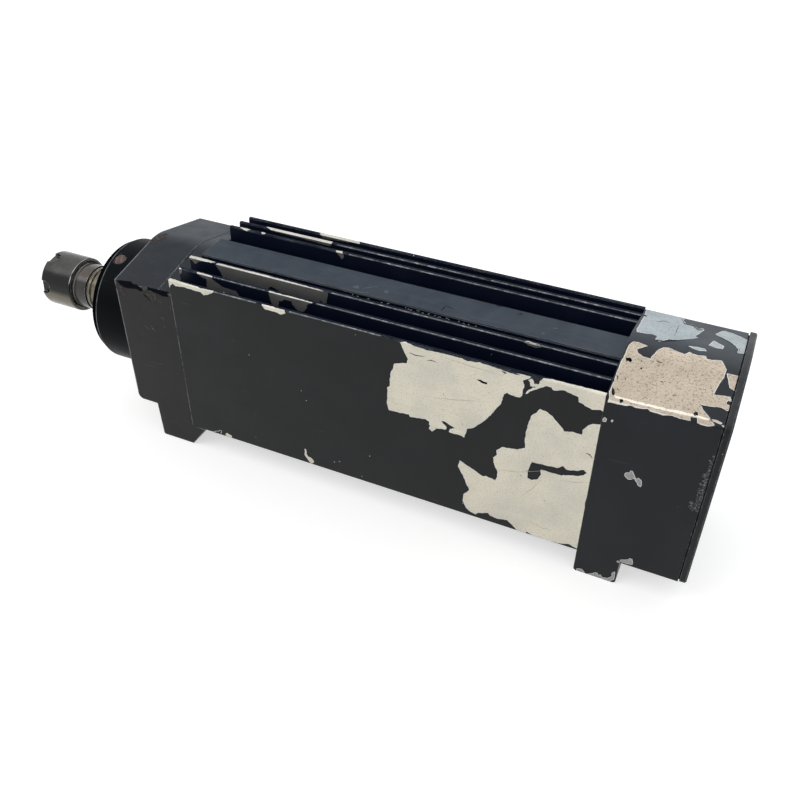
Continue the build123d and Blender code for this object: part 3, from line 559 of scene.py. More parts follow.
def painted(
    name, base, dust_and_sky_sheen, near_dust_and_sheen=1.0, wear=0.35, grain=0.02, rust=0.0, rub_and_highlight=0.5, rub_size=0.7, gloss=0.22,
    line=None, taper=None, grooved=False,
):
    """Old glossy black paint: dusty on top with a painted sheen of the sky, scratched, rubbed and broken at
    its edges, with painted highlights along edges and painted shade in the fin grooves.
    """
    s = Shader(name, base)
    s.lay(s.spots(30, 0.35, 0.7, detail=5), tuple(c * 1.6 for c in base))
    # A light bluish film on faces that look up: settled dust, partly a painted sheen of the sky. Faces that
    # lean towards the near side get only a share of it, a painted shade.
    top = s.rise(s.upward(), 0.45, 1.0)
    dust_and_sheen = s.times(top, s.spots(9, 0.3, 0.75, 0.55, 1.0, detail=6, warp=0.6))
    dust_and_sheen = s.times(dust_and_sheen, s.rise(s.leaning("Y"), -0.2, 0.2, near_dust_and_sheen, 1.0))
    if grooved:
        aside = s.math("ABSOLUTE", s.axis("Y"))
        dust_and_sheen = s.times(dust_and_sheen, s.rise(aside, rail_half, rail_half + mm, 1.0, 0.2))
        # Painted shade deep in the grooves between the fins, tinted navy as a painted reflection of the sky.
        between = s.rise(aside, housing_high.y - 0.2 * mm, housing_high.y - 0.5 * mm)
        groove_shade = s.times(between, s.rise(s.axis("Z"), fin_root_height - 2 * mm, fin_root_height))
        s.lay(groove_shade, (0.0035, 0.0062, 0.017))
        tips = s.times(s.upward(), s.rise(aside, rail_half, rail_half + mm))
        gloss = s.rise(tips, 0.25, 0.6, gloss, 0.02)
    s.lay(dust_and_sheen, dust_and_sky_sheen)
    brushed = s.spots(2.2, 0.55, 0.75, 0.0, 0.25, detail=4, place=s.stretched(0.12, 1.0, 0.4))
    s.lay(s.times(brushed, dust_and_sheen), tuple(c * 2.2 for c in dust_and_sky_sheen))
    scratch = s.spots(1.1, 0.7, 0.74, detail=2, place=s.stretched(0.04, spin=radians(18)))
    s.lay(s.times(scratch, s.spots(22, 0.52, 0.62), 0.3), (0.10, 0.105, 0.11))
    # Light lines along edges: rubbed paint, partly a painted highlight. They are stronger on faces leaning
    # towards the near side, which is painted highlight alone.
    edge = s.edges(rub_size)
    near = s.rise(s.leaning("Y", s.softened(rub_size)), 0.1, -0.1, 0.4, 1.0)
    patchy = s.spots(4, 0.38, 0.6, 0.1, 1.0, detail=6, roughness=0.7, place=s.stretched(0.35))
    s.lay(s.times(s.rise(edge, 0.015, 0.11), patchy, rub_and_highlight, near), (0.34, 0.35, 0.355))
    broken = s.times(edge, s.spots(3.2, 0.5, 0.72, detail=6, roughness=0.7))
    worn = s.rise(broken, 0.05 / wear, 0.09 / wear)
    specks = s.times(s.rise(s.cells(5.5), 0.055, 0.04), s.spots(26, 0.56, 0.6))
    bare = s.math("MAXIMUM", worn, specks)
    if line:
        # A painted highlight: a light band just behind an edge at the given station, on faces that look
        # sideways; on the casting's front edge it is partly worn paint.
        away = s.math("ABSOLUTE", s.math("SUBTRACT", s.axis("X"), line))
        sideways = s.rise(s.math("ABSOLUTE", s.leaning("X")), 0.9, 0.7)
        drawn = s.times(s.rise(away, 0.36 * mm, 0.16 * mm), sideways)
        drawn = s.times(drawn, s.spots(6, 0.35, 0.6, 0.35, 1.0, detail=4))
        s.lay(drawn, (0.18, 0.185, 0.19))
    if taper:
        gloss = s.rise(s.axis("X"), taper - 0.8 * mm, taper, 0.0, gloss)
    s.lay(bare, s.mix(rust, (0.50, 0.49, 0.46), (0.22, 0.115, 0.07)))
    rough = s.math("ADD", s.spots(14, 0.3, 0.75, 0.32, 0.46, detail=6), s.times(dust_and_sheen, 0.10))
    normal = s.bump(s.clouds(1.3, detail=4), grain, s.softened(0.45))
    normal = s.bump(s.math("SUBTRACT", 1.0, bare), 0.08, normal)
    metallic = s.times(bare, 0.6 * (1 - rust))
    return s.finish(rough, metallic, normal, gloss=gloss)


def bare_metal(name, base, shade, stain, metallic=0.45, flank_shading=None, speckle=0.5):
    """Aluminium laid bare by flaked paint: drawn lines, grey stains and flecks of old paint. A flank colour,
    where given, paints light and shade on faces that don't look up.
    """
    s = Shader(name, base)
    s.lay(s.spots(16, 0.35, 0.7, detail=5), shade)
    s.lay(s.spots(0.9, 0.45, 0.75, 0.0, 0.4, place=s.stretched(0.03)), shade)
    s.lay(s.spots(0.8, 0.5, 0.68, 0.0, speckle, roughness=0.7), stain)
    spots = s.spots(2.4, 0.6, 0.7, detail=7, roughness=0.75)
    s.lay(s.times(spots, s.spots(19, 0.45, 0.6, detail=2), 0.7), stain)
    # Painted light and shade: faces that don't look up take the flank colour, darker on the fin sides in the
    # grooves and lighter where a roof chip turns down over the eave.
    if flank_shading:
        s.color = s.mix(s.rise(s.upward(), 0.25, 0.7), flank_shading, s.color)
    flecks = s.times(s.rise(s.cells(4.2), 0.075, 0.05), s.spots(12, 0.5, 0.56))
    s.lay(flecks, (0.03, 0.03, 0.03))
    rough = s.spots(5, 0.3, 0.7, 0.45, 0.62, detail=5)
    normal = s.bump(s.clouds(0.8, detail=4), 0.015, s.normal)
    return s.finish(rough, metallic, normal)


def mottled(name, base, light, roughness=0.6, size=1.6, gloss=0.22):
    """Rust, dirt, scuffed paint, painted edge highlights and painted shadow lines: one colour broken up by
    spots of another.
    """
    s = Shader(name, base)
    s.lay(s.spots(size, 0.45, 0.68, detail=6, roughness=0.7), light)
    normal = s.bump(s.clouds(0.7, detail=5), 0.05, s.normal)
    return s.finish(roughness, 0.0, normal, gloss=gloss)


def worked_steel(
    name, base, dark, roughness, rust=0.0, turned=True, low=None, stain=None, rim_highlight_x=None, lit_gap=None,
):
    """Turned or ground steel: fine rings, dark tarnish and, with rust, brown patches on top; with a low
    colour, painted reflections by how a face leans.
    """
    s = Shader(name, base)
    height = s.leaning("Z")
    s.lay(s.spots(9, 0.3, 0.75, 0.0, 0.6, detail=4, roughness=0.5), dark)
    # Painted reflections: faces that lean away from straight up darken towards the dark colour, and faces
    # that look down take the low colour, a painted reflection of the floor.
    if low:
        s.lay(s.rise(height, 0.86, 0.6), dark)
        s.lay(s.rise(height, 0.14, -0.14), low)
    if stain:
        first, last, tint = stain
        along = s.axis("X")
        inside = s.times(s.rise(along, first, first + mm), s.rise(along, last + mm, last))
        s.lay(s.times(inside, s.spots(5, 0.3, 0.6, 0.5, 1.0)), tint)
    if rust:
        rusty = s.spots(4, 0.46, 0.62, detail=7, roughness=0.7)
        s.lay(s.times(rusty, rust, s.rise(height, 0.2, 0.9)), (0.15, 0.095, 0.06))
    s.lay(s.times(s.spots(1.2, 0.64, 0.77, detail=5), 0.4), dark)
    worn = s.rise(s.edges(0.5), 0.03, 0.16, 0.0, 0.7)
    s.lay(s.times(worn, s.spots(3, 0.4, 0.6, detail=4)), (0.6, 0.6, 0.58))
    metallic = 1.0 - 0.3 * rust
    # A painted highlight on the nut's rounded rear rim where it faces up and back, and painted light in the
    # recess inside the rim, a plain grey instead of metal.
    if rim_highlight_x:
        rounded = s.rise(s.axis("X"), rim_highlight_x - 0.9 * mm, rim_highlight_x - 0.6 * mm)
        behind = s.rise(s.axis("X"), rim_highlight_x - 1.9 * mm, rim_highlight_x - 1.5 * mm)
        flat = s.times(behind, s.rise(s.from_shaft(), 14.3 * mm, 14.0 * mm))
        ahead = s.leaning("X")
        lit = s.times(s.rise(height, 0.38, 0.48), s.rise(ahead, 0.25, 0.4), rounded)
        lit = s.times(lit, s.rise(ahead, 0.8, 0.68), s.rise(height, 0.82, 0.74))
        s.lay(flat, (0.12, 0.118, 0.115))
        s.lay(s.times(lit, s.spots(7, 0.35, 0.55)), (0.75, 0.75, 0.72))
        metallic = s.math("SUBTRACT", metallic, s.math("MAXIMUM", flat, lit), clamp=True)
    # Painted light in the gap behind the nut: the shaft there is a plain light grey instead of metal.
    if lit_gap:
        inside = s.rise(s.math("ABSOLUTE", s.math("SUBTRACT", s.axis("X"), lit_gap)), 1.3 * mm, 0.9 * mm)
        s.lay(inside, (0.26, 0.25, 0.24))
        metallic = s.math("SUBTRACT", metallic, inside, clamp=True)
    squeeze = (6.0, 0.15, 0.15) if turned else (1.0, 1.0, 1.0)
    rings = s.clouds(1, place=s.stretched(*squeeze))
    rough = s.spots(3, 0.3, 0.7, roughness - 0.05, roughness + 0.07, detail=5)
    normal = s.bump(rings, 0.01, s.softened(0.25))
    return s.finish(rough, metallic, normal)


def plain(name, base, roughness, grain=0.01, metallic=0.0):
    """Rubber, plastic, brass or cast finish with light mottling."""
    s = Shader(name, base)
    s.lay(s.spots(7, 0.3, 0.7, detail=5), tuple(c * 0.72 for c in base))
    rough = s.spots(2, 0.3, 0.7, roughness - 0.06, roughness + 0.08, detail=4)
    normal = s.bump(s.clouds(0.6, detail=4), grain, s.softened(0.2))
    return s.finish(rough, metallic, normal)


def laminated(name, base):
    """A stack of thin sheets seen from the side."""
    s = Shader(name, base)
    sheets = s.clouds(1, detail=1, place=s.stretched(2.0, 0.02, 0.02))
    s.lay(s.rise(sheets, 0.4, 0.6), tuple(c * 0.5 for c in base))
    normal = s.bump(sheets, 0.05, s.normal)
    return s.finish(0.45, 0.8, normal)


def wound(name, base):
    """Varnished copper wire, wound round the shaft axis at the end turns."""
    s = Shader(name, base)
    wires = s.clouds(0.9, detail=2, place=s.stretched(1.2, 0.3, 0.3))
    s.lay(s.rise(wires, 0.35, 0.65), tuple(c * 0.35 for c in base))
    normal = s.bump(wires, 0.25, s.normal)
    return s.finish(0.35, 0.5, normal)


fresh_metal = bare_metal("fresh_aluminium", (0.86, 0.85, 0.80), (0.72, 0.71, 0.67), (0.4, 0.39, 0.37), 0.3)
side_metal = bare_metal("side_aluminium", (0.74, 0.69, 0.57), (0.64, 0.61, 0.52), (0.38, 0.36, 0.31))
# Its flank colour is a painted lighter tone where the chip turns down over the eave.
roof_metal = bare_metal(
    "roof_aluminium", (0.57, 0.48, 0.38), (0.49, 0.41, 0.32), (0.17, 0.145, 0.12), flank_shading=(0.80, 0.76, 0.68),
    speckle=0.9,
)
# A painted highlight: bare metal along the roof's near eave, made much lighter where the rounded eave catches
# the light.
eave_highlight_metal = bare_metal("eave_aluminium_highlight", (0.95, 0.88, 0.76), (0.86, 0.79, 0.67), (0.55, 0.5, 0.42), 0.3)
grey_metal = bare_metal(
    "grey_aluminium", (0.40, 0.45, 0.47), (0.32, 0.37, 0.39), (0.16, 0.17, 0.18), speckle=0.75,
)
# Its flank colour is painted shade on the fin sides in the grooves.
fin_metal = bare_metal(
    "fin_aluminium", (0.66, 0.64, 0.58), (0.55, 0.53, 0.48), (0.3, 0.3, 0.28), flank_shading=(0.17, 0.165, 0.158),
)
scraped_metal = bare_metal(
    "scraped_aluminium", (0.34, 0.34, 0.33), (0.26, 0.26, 0.25), (0.12, 0.12, 0.12), 0.3,
)
rust_brown = mottled("rust_brown", (0.016, 0.012, 0.012), (0.088, 0.070, 0.070), size=1.2)
scuffed_paint = mottled("scuffed_paint", (0.030, 0.030, 0.031), (0.09, 0.09, 0.092), 0.45)
worn_rail = mottled("worn_rail", (0.050, 0.066, 0.080), (0.12, 0.13, 0.14), 0.5, 1.0)
# Painted highlights on the fins' tip chamfers, partly rubbed paint: the near edges lighter as they catch the
# light, the far edges a darker copy.
worn_near_edge_highlight = mottled("near_edge_wear_and_highlight", (0.13, 0.135, 0.14), (0.46, 0.47, 0.47), 0.5, 3.0)
worn_far_edge_highlight = mottled("far_edge_wear_and_highlight", (0.04, 0.042, 0.045), (0.20, 0.205, 0.21), 0.5, 3.0)
hairline = mottled("hairline", (0.46, 0.42, 0.34), (0.38, 0.34, 0.28), 0.6)
scraped_edge = mottled("scraped_edge", (0.012, 0.013, 0.015), (0.27, 0.27, 0.26), 0.6, 0.9)
# Near-black marks: old paint and dirt, and, along the far roof chips, painted shadow lines.
grime_and_shadow = mottled("grime_and_shadow", (0.0005, 0.0010, 0.003), (0.002, 0.003, 0.005), 0.6, gloss=0.03)

painted(
    "housing_paint", (0.0045, 0.0048, 0.0056), (0.023, 0.037, 0.054), rub_and_highlight=1.0, rub_size=0.28, grooved=True,
)
painted(
    "casting_paint", (0.0056, 0.0052, 0.0052), (0.022, 0.033, 0.048), near_dust_and_sheen=0.45, wear=0.6, grain=0.06,
    rust=0.7, rub_and_highlight=1.0, line=casting_low.x + 0.3 * mm,
)
painted(
    "block_paint", (0.0036, 0.0050, 0.0075), (0.030, 0.043, 0.059), near_dust_and_sheen=0.12, rub_and_highlight=0.35,
)
painted("plate_paint", (0.0045, 0.0052, 0.0065), (0.02, 0.025, 0.03), wear=0.5)
painted(
    "cartridge_paint", (0.0012, 0.0018, 0.0026), (0.003, 0.005, 0.007), wear=0.5, grain=0.01, rust=0.2,
    rub_and_highlight=0.1, gloss=0.04, line=cartridge_low.x + cartridge_taper, taper=cartridge_low.x + cartridge_taper,
)
plain("gasket_rubber", (0.012, 0.012, 0.013), 0.8)
mottled("plug_steel", (0.088, 0.056, 0.048), (0.19, 0.155, 0.14), 0.55, 2.6)
worked_steel(
    "nut_steel", (0.095, 0.094, 0.092), (0.030, 0.030, 0.031), 0.25, low=(0.125, 0.115, 0.088),
    rim_highlight_x=nut_high.x,
)
worked_steel("collet_steel", (0.42, 0.42, 0.41), (0.25, 0.24, 0.23), 0.25)
worked_steel(
    "shaft_steel", (0.13, 0.125, 0.12), (0.055, 0.053, 0.052), 0.22, 0.6, low=(0.060, 0.058, 0.056),
    stain=(cartridge_low.x - neck_stain, cartridge_low.x - mm, (0.165, 0.148, 0.108)),
    lit_gap=nut_high.x,
)
worked_steel("bearing_steel", (0.55, 0.55, 0.55), (0.42, 0.42, 0.42), 0.18)
worked_steel("ball_steel", (0.68, 0.68, 0.68), (0.60, 0.60, 0.60), 0.09, 0.0, False)
plain("cage_plastic", (0.50, 0.42, 0.30), 0.5)
worked_steel("screw_steel", (0.07, 0.07, 0.075), (0.04, 0.04, 0.04), 0.35)
plain("terminal_brass", (0.70, 0.55, 0.28), 0.3, metallic=1.0)
plain("terminal_plastic", (0.70, 0.69, 0.63), 0.5)
plain("lead_rubber", (0.30, 0.05, 0.04), 0.55)
laminated("lamination_steel", (0.30, 0.30, 0.32))
wound("winding_copper", (0.45, 0.17, 0.07))
plain("rotor_aluminium", (0.62, 0.62, 0.63), 0.4, metallic=1.0)

for node, slot in slots.items():
    cad = nodes[node]
    cad.data.materials.clear()
    cad.data.materials.append(finishes[slot])


# Where the paint has flaked, traced in pixels of the photograph

upper_side_chip = [
    (400.5, 342.5), (405.5, 342.5), (414.5, 346.5), (423, 349.5), (433.5, 352), (441, 353.5),
    (452.5, 356.5), (460.5, 358.5), (468, 362), (479.5, 363), (491, 366.5), (504.5, 371.5), (512, 374),
    (519, 374), (530.5, 377), (529, 377.5), (522, 380.5), (524, 384.5), (522, 390.5), (522, 395.5),
    (519.5, 397), (515.5, 396), (507, 392.5), (503, 394.5), (500.5, 403), (495, 409), (491, 414),
    (485.5, 419), (479.5, 423.5), (474, 427), (466.5, 428.5), (465.5, 432), (463.5, 437), (460.5, 435),
    (453.5, 433), (449.5, 432), (450.5, 429.5), (455.5, 428.5), (453.5, 426.5), (449, 424), (445, 421),
    (440.5, 420.5), (442.5, 423.5), (446, 427), (445.5, 429), (436.5, 428), (432, 431), (429.5, 428.5),
    (431, 425.5), (429.5, 424), (430, 422), (425, 418.5), (410.5, 416.5), (409.5, 414), (399, 412),
    (389, 409.5), (387.5, 402.5), (388, 387.5), (390, 386.5), (391, 373), (393, 370), (394.5, 364),
    (407, 363.5), (408.5, 359.5), (405, 352), (402, 346),
]
rear_edge_chip = [
    (528.5, 380), (532, 379), (533.5, 382), (533.5, 384), (538.5, 385), (541, 381), (544, 378.6),
    (558, 381), (569, 384), (584, 387.6), (595.5, 390.4), (607, 393), (605, 403), (604, 413),
    (600.5, 409.5), (592, 409), (585.5, 405), (579.5, 401.5), (579, 396.5), (573.5, 394.5),
    (566.5, 391), (563.5, 390), (553, 390), (551.5, 387), (546, 385.5), (541.5, 387), (536.5, 388.5),
    (530.5, 390.5), (526, 393.5), (527.5, 391.5), (533, 388.5), (536, 387), (531, 386), (531, 382),
]
lower_side_chip = [
    (540.5, 409.5), (546.5, 412), (552, 416.5), (559, 425), (564.5, 432), (573.5, 432.5),
    (582.5, 435.5), (583.5, 430.5), (588, 426), (593.5, 424.5), (600.5, 424.5), (598.5, 433.5),
    (596.5, 447), (593, 462.5), (592, 469.5), (584.5, 502), (580, 531.5), (576.5, 549), (572.5, 546),
    (569.5, 544), (557.5, 542.5), (545.5, 540), (532.5, 535), (530, 533), (526, 531), (525, 533.5),
    (517, 530), (512.5, 524.5), (506.5, 519.5), (497.5, 518.5), (490, 515), (488, 512.5),
    (476.5, 512.5), (475.5, 514), (469.5, 510.5), (466.5, 507.5), (463, 501), (464, 494.5),
    (470, 490.5), (464, 477), (458.5, 466.5), (460, 461), (470.5, 468), (483, 477), (486, 476.5),
    (496, 480.5), (497.5, 477), (498, 471.5), (494.5, 464), (494, 458), (497.5, 455), (497, 450.5),
    (503, 447.5), (507.5, 448.5), (517.5, 450), (525.5, 448.5), (525.5, 440.5), (526.5, 432.5),
    (530, 421), (531.5, 416), (536, 413.5),
]
paint_island = [
    (531.5, 461.5), (557, 467.5), (563, 465.5), (567, 469.5), (578, 470.5), (583, 469), (588, 473),
    (584.5, 475.5), (579, 476.5), (563.5, 475.5), (561.5, 476), (541, 470), (541.5, 475), (538, 479.5),
    (531.5, 480.5), (527, 478), (527.5, 470.5),
]
near_roof_chip = [
    (629, 345), (631, 343.5), (634, 342), (639.5, 343), (647.5, 346), (640.5, 347.5), (636.5, 349),
    (637, 352.5), (642, 356.5), (651, 359.5), (652.5, 356.5), (656.5, 352), (663.5, 347.5), (669, 348),
    (674.5, 351), (682, 353.5), (684.5, 355), (690, 352.5), (693.5, 354.5), (699, 356), (705.5, 356),
    (706, 359), (711.5, 360), (721, 361), (723.5, 364.5), (726, 370), (723.5, 377), (717.5, 385.5),
    (713, 395), (719.5, 396), (729.5, 397), (733, 406), (729.5, 410.5), (726.5, 410), (722, 407.5),
    (714.5, 406.5), (699, 404), (703, 410), (708, 416.5), (711.5, 421), (714, 425), (709.5, 425.5),
    (703, 424.8), (698, 422.8), (697.3, 417.2), (689.8, 416.8), (690, 420), (684, 419), (679.5, 418),
    (675, 416.5), (670.5, 414.8), (663.5, 414.8), (657.5, 412.8), (650.5, 411), (648, 408.3), (641.5, 407.8),
    (636, 407), (631, 405.3), (626, 405.5), (620, 404), (614.5, 402.8), (608, 401.8), (609.5, 398.5),
    (609.6, 392), (611.2, 388.5), (614.8, 380.5), (617, 372), (620.8, 363.5), (626.6, 352),
]
roof_corner_chip = [
    (727, 373.5), (738, 376.5), (738, 382), (736, 387.5), (733, 392), (730.5, 387.5), (728.5, 380.5),
]
far_roof_chip = [
    (648, 308), (654.5, 309), (663.5, 312), (675, 314.5), (685.5, 317.5), (683, 320), (685.5, 323.5),
    (693.5, 325.5), (698, 329.5), (703, 328.5), (704, 330), (700, 333), (694.5, 336), (697.5, 338),
    (688.5, 339), (677, 340), (669, 339), (663.5, 340.5), (659, 341.5), (655.5, 339.5), (657.5, 336),
    (651, 334), (644, 333), (637.5, 332), (637, 329.5), (640.5, 323.5), (644, 317.5), (646, 313),
]
far_corner_chip = [
    (715.5, 334.5), (722, 331.5), (725.5, 331), (732.5, 333.5), (739, 336), (748.5, 341.5),
    (747.5, 346), (746, 351), (743.5, 353.5), (738, 353), (739, 349.5), (736, 346), (729.5, 341.5),
    (722, 337.5),
]
ridge_chip = [
    (709.5, 345.5), (714, 341), (717.5, 343), (723.5, 346), (722.5, 349), (716.5, 348),
]
ridge_sliver = [
    (688.5, 346), (698, 347.5), (705, 349), (706, 351), (699, 350.5), (693.5, 348.5),
]
first_fin_front = [
    (169, 279.5), (170.5, 278), (176, 280.5), (187, 284), (200, 288.5), (213.5, 291.5), (212.5, 292.5),
    (204, 295), (200, 291.5), (193, 289.5), (181.5, 286), (176, 286), (172.5, 283), (170.2, 284.5),
    (170, 292.5), (168.5, 293), (168.5, 284.5),
]
first_fin_middle = [
    (262, 304.5), (265.5, 305.5), (284, 310.5), (285, 313.2), (281, 314.2), (275, 311.4),
    (264.5, 308.6),
]
fin_chips = {
    "second": [
        [(178, 269.5), (179.5, 267.4), (181.2, 268.4), (181.6, 272), (180.8, 276.6), (179.2, 275.5),
         (178.6, 272)],
        [(197, 272), (203, 273.5), (210, 275.5), (212, 277), (211, 279), (222.5, 287.5), (236, 292),
         (238.5, 295.5), (222.5, 293.5), (208, 287.5), (207, 279.5), (200, 275.5)],
        [(269, 291.5), (279.5, 294), (292, 297.5), (302, 300), (312, 303), (306, 304.5), (306.5, 307),
         (303, 311.5), (298, 310), (293, 305), (292, 301), (288, 300), (283.5, 299), (281.5, 301),
         (278.5, 300.5), (277.5, 306), (272.5, 304), (270.5, 299), (269.5, 295)],
    ],
    "third": [
        [(188.5, 257), (191, 255.5), (204.5, 259), (215.5, 262.5), (210, 262), (200, 260.5), (195.5, 263),
         (192, 259.5)],
        [(216, 265), (219.5, 263.5), (230.5, 266.5), (244, 270), (266.5, 275.5), (286.5, 281),
         (307, 286.5), (320.5, 290.5), (327, 293.5), (326, 303), (322.5, 302), (321.5, 300), (317.5, 302),
         (307, 299), (297, 298), (283.5, 293.5), (275.5, 288), (270.5, 286), (266.5, 289.5), (251, 284.5),
         (241, 282), (223.5, 277), (221, 272), (218.5, 268.5)],
        [(524, 341.5), (528, 341.2), (533, 343), (539, 344.6), (540, 347), (535, 346.8), (529, 345)],
    ],
    "fourth": [
        [(241, 226.5), (246, 228), (250, 230), (246, 230.5), (241, 228)],
        [(261.5, 232), (265, 233), (265, 234), (262, 233.5)],
        [(336.5, 250.5), (342, 251.5), (343.5, 256.5), (342, 258.5), (338, 254)],
    ],
    "fifth": [
        [(267, 227), (270.5, 226.5), (291, 232), (309.5, 236.5), (314.5, 237), (332.5, 242), (331, 244.5),
         (329, 245.5), (311.5, 240.5), (291, 235.5), (271.5, 230)],
    ],
    "sixth": [
        [(320, 233.5), (323.5, 232.8), (332, 234), (337, 235.2), (360, 241), (359.5, 243.6), (342, 240.8),
         (323.5, 237.6)],
    ],
}
roof_islands = [
    [(693, 414), (695, 412), (697.6, 412.4), (697.2, 415), (695, 415.4)],
    [(620.5, 400.6), (623.6, 400), (624, 402.2), (621.4, 402.8)],
    [(612, 394.5), (612.6, 391), (614.2, 388.4), (614.8, 392)],
    [(725.6, 402), (728, 400.6), (731, 401.4), (731.4, 404), (729, 405.6), (726.4, 404.6)],
]
eave_sliver = [(711.5, 419.8), (716, 420.2), (721.4, 423.2), (720.5, 424), (715, 421.8)]
eave_band = [
    (614, 395.4), (625, 398.2), (640, 402), (655, 405.8), (670, 409.2), (685, 412.2), (692, 413.8),
    (698, 415.2), (704, 417), (710, 419.6), (708, 420.6), (700, 418), (692, 416.3), (684, 414.8),
    (670, 411.8), (655, 408.4), (640, 404.6), (625, 400.6), (616, 398),
]
edge_scrape = [
    (716.5, 454), (715.5, 457), (713.5, 463), (711.5, 470), (709, 477), (706.5, 485), (704, 492),
    (701.5, 500), (699.5, 507), (698, 511), (692, 511), (690, 509), (688, 506), (690, 504.5), (689, 502),
    (691, 500), (693, 501.5), (695, 504), (696, 500), (694, 498.5), (697, 497.5), (697, 495), (698, 492),
    (696.5, 490.5), (698.5, 490), (698, 488), (701, 487.5), (700, 485), (698.5, 483.5), (702, 483),
    (702, 480), (704.5, 480), (704, 478), (701.5, 477), (701.5, 475), (704, 473.5), (707, 472.5),
    (707, 470.5), (709, 470), (708, 466.7), (709.6, 466.5), (708, 464.5), (709, 463.5), (711, 463),
    (709, 460.5), (709.5, 459.5), (712, 459.5), (711.2, 457.5), (712.4, 457), (712.6, 454.5),
]
bell_chip = [
    (625, 475.5), (626, 474), (627.5, 473), (629, 473), (629.8, 474), (630.3, 472), (631.2, 471),
    (632, 471.5), (633, 473.5), (634.2, 475.5), (635, 478), (636, 479.5), (637, 479), (638.5, 478.2),
    (640, 479.5), (641, 480.5), (640.8, 484), (641.3, 485.5), (640.5, 486.5), (639.5, 486.2),
    (638, 484.3), (637, 482.5), (635.8, 480.5), (634, 477.8), (632.5, 478.3), (630, 479), (628, 479),
    (626.5, 477.5),
]
foot_patch = [
    (620.5, 560), (624, 560), (629, 560), (629.5, 558.3), (631.5, 559), (632, 561), (631.8, 564.2),
    (628, 563.6), (624, 562.6), (621, 561.5),
]
block_specks = [
    [(722, 425.4), (723.6, 425.8), (724.6, 428.4), (722.6, 427.6)],
    [(728.6, 424.6), (731.4, 426.4), (731, 428.6), (729, 427)],
    [(712.4, 486), (713.8, 486.4), (713.4, 488.4), (712.2, 488)],
    [(707.6, 488.4), (708.8, 488.6), (708.6, 490), (707.4, 489.8)],
    [(603.4, 419), (605, 417.4), (606.4, 418.8), (605, 421.6), (603, 421.4)],
]
foot_dash = [(617, 561.5), (619, 561), (620, 562.2), (618, 562.6)]
joint_spot = [(611.2, 421.4), (612.2, 420), (613, 420.6), (612, 422)]
foot_front_chip = [(577, 569), (580, 568.8), (582, 569.6), (584, 572.6), (580, 571.8), (577, 570.5)]
foot_edge_chip = [
    (588, 574), (592, 573.8), (595.5, 573), (597, 573), (597.5, 575), (600, 575), (602.5, 577.6),
    (606, 578.2), (608, 578.4), (610, 577.6), (612.6, 576), (612.2, 573.6), (613.2, 572.6), (614.4, 572),
    (614.4, 576), (613.6, 579.2), (610, 580.4), (600, 578), (594, 576.2), (589, 574.8),
]
bottom_chip = [
    (211, 432), (214, 432.4), (216.5, 431.2), (219, 431.2), (220.5, 430.2), (221.5, 430.8),
    (220.6, 433), (222.5, 435.4), (219, 434.8), (215, 433.6),
]
bottom_spot = [
    (226, 434), (227, 433.4), (229, 434.4), (231.4, 435.8), (231.8, 437.8), (228, 437.2), (226.4, 436.4),
]
comma_chip = [
    (305, 449), (305.7, 449.6), (306.1, 454), (308.5, 457), (310.5, 457.3), (312.5, 459.5), (313.5, 461.5),
    (312.5, 463), (311, 462.6), (309.5, 461), (307, 457.5), (305.3, 455),
]
ridge_rust = [
    (151.5, 239.5), (157, 236.2), (162, 234.4), (166, 233), (169, 233.4), (168, 235.5), (165, 236),
    (167.4, 238.5), (166, 240.5), (162, 240), (160, 242.5), (156, 243.5), (152.5, 242.6), (150.5, 241.4),
]
corner_rust = [
    (115.6, 284.4), (118, 284.8), (121, 287), (124, 289), (125, 293), (124, 296), (121, 293), (118, 290),
]
eave_rust = [
    (143, 293), (147, 292.4), (151, 293), (156, 294), (158, 297), (156, 300), (152, 302.6), (148, 299.4),
    (144, 296),
]
eave_grime_front = [
    (116, 280), (124, 280.5), (131, 281.5), (133.5, 284), (137, 284.5), (140, 287), (143, 290),
    (141, 291.5), (136, 289), (130, 288.5), (124.5, 287.5), (120, 284.5),
]
eave_grime_rear = [
    (147.5, 287), (154, 288.5), (162, 290.5), (168.5, 292), (168.5, 297), (163, 296.5), (158, 294),
    (152, 291.5), (148, 290),
]
casting_scuffs = [
    stroke([(183, 261), (187, 256.5), (191, 251.5), (194.5, 248.4)], 1.0),
    stroke([(150.5, 325), (152.5, 328), (155.5, 332)], 1.4),
    stroke([(144.5, 325), (147, 327.5), (150, 330)], 1.1),
    stroke([(141, 292), (146, 296.4), (151, 301.4)], 1.0),
    stroke([(158, 299.6), (160, 301.6), (162, 303.4)], 1.2),
    stroke([(161, 317), (163, 318.4), (164, 320.6)], 1.0),
    stroke([(163, 325), (165, 327), (166, 329)], 1.0),
    stroke([(170.4, 305), (170.8, 308), (171, 310.6)], 0.9),
    [(149.4, 290.6), (151, 290.4), (151.2, 292), (149.8, 292.4)],
    [(141.5, 287), (144, 285.8), (147, 287), (147, 289.4), (143.6, 290.4)],
]
side_spots = [
    [(476.5, 379.2), (480, 379.6), (483.4, 381.4), (487, 382.6), (487.2, 384.4), (482.4, 383.4)],
    [(501, 370.6), (504, 371.6), (507, 373.4), (504.4, 373.6)],
    stroke([(512, 373.2), (516, 374.2), (520, 374.8)], 1.2),
    stroke([(409, 352.6), (416, 355.4), (424, 356.6)], 0.9),
    stroke([(427, 361), (431, 360.2), (437, 362.4)], 0.8),
    stroke([(586, 453), (589.6, 454.6), (592.6, 458.6)], 1.0),
]
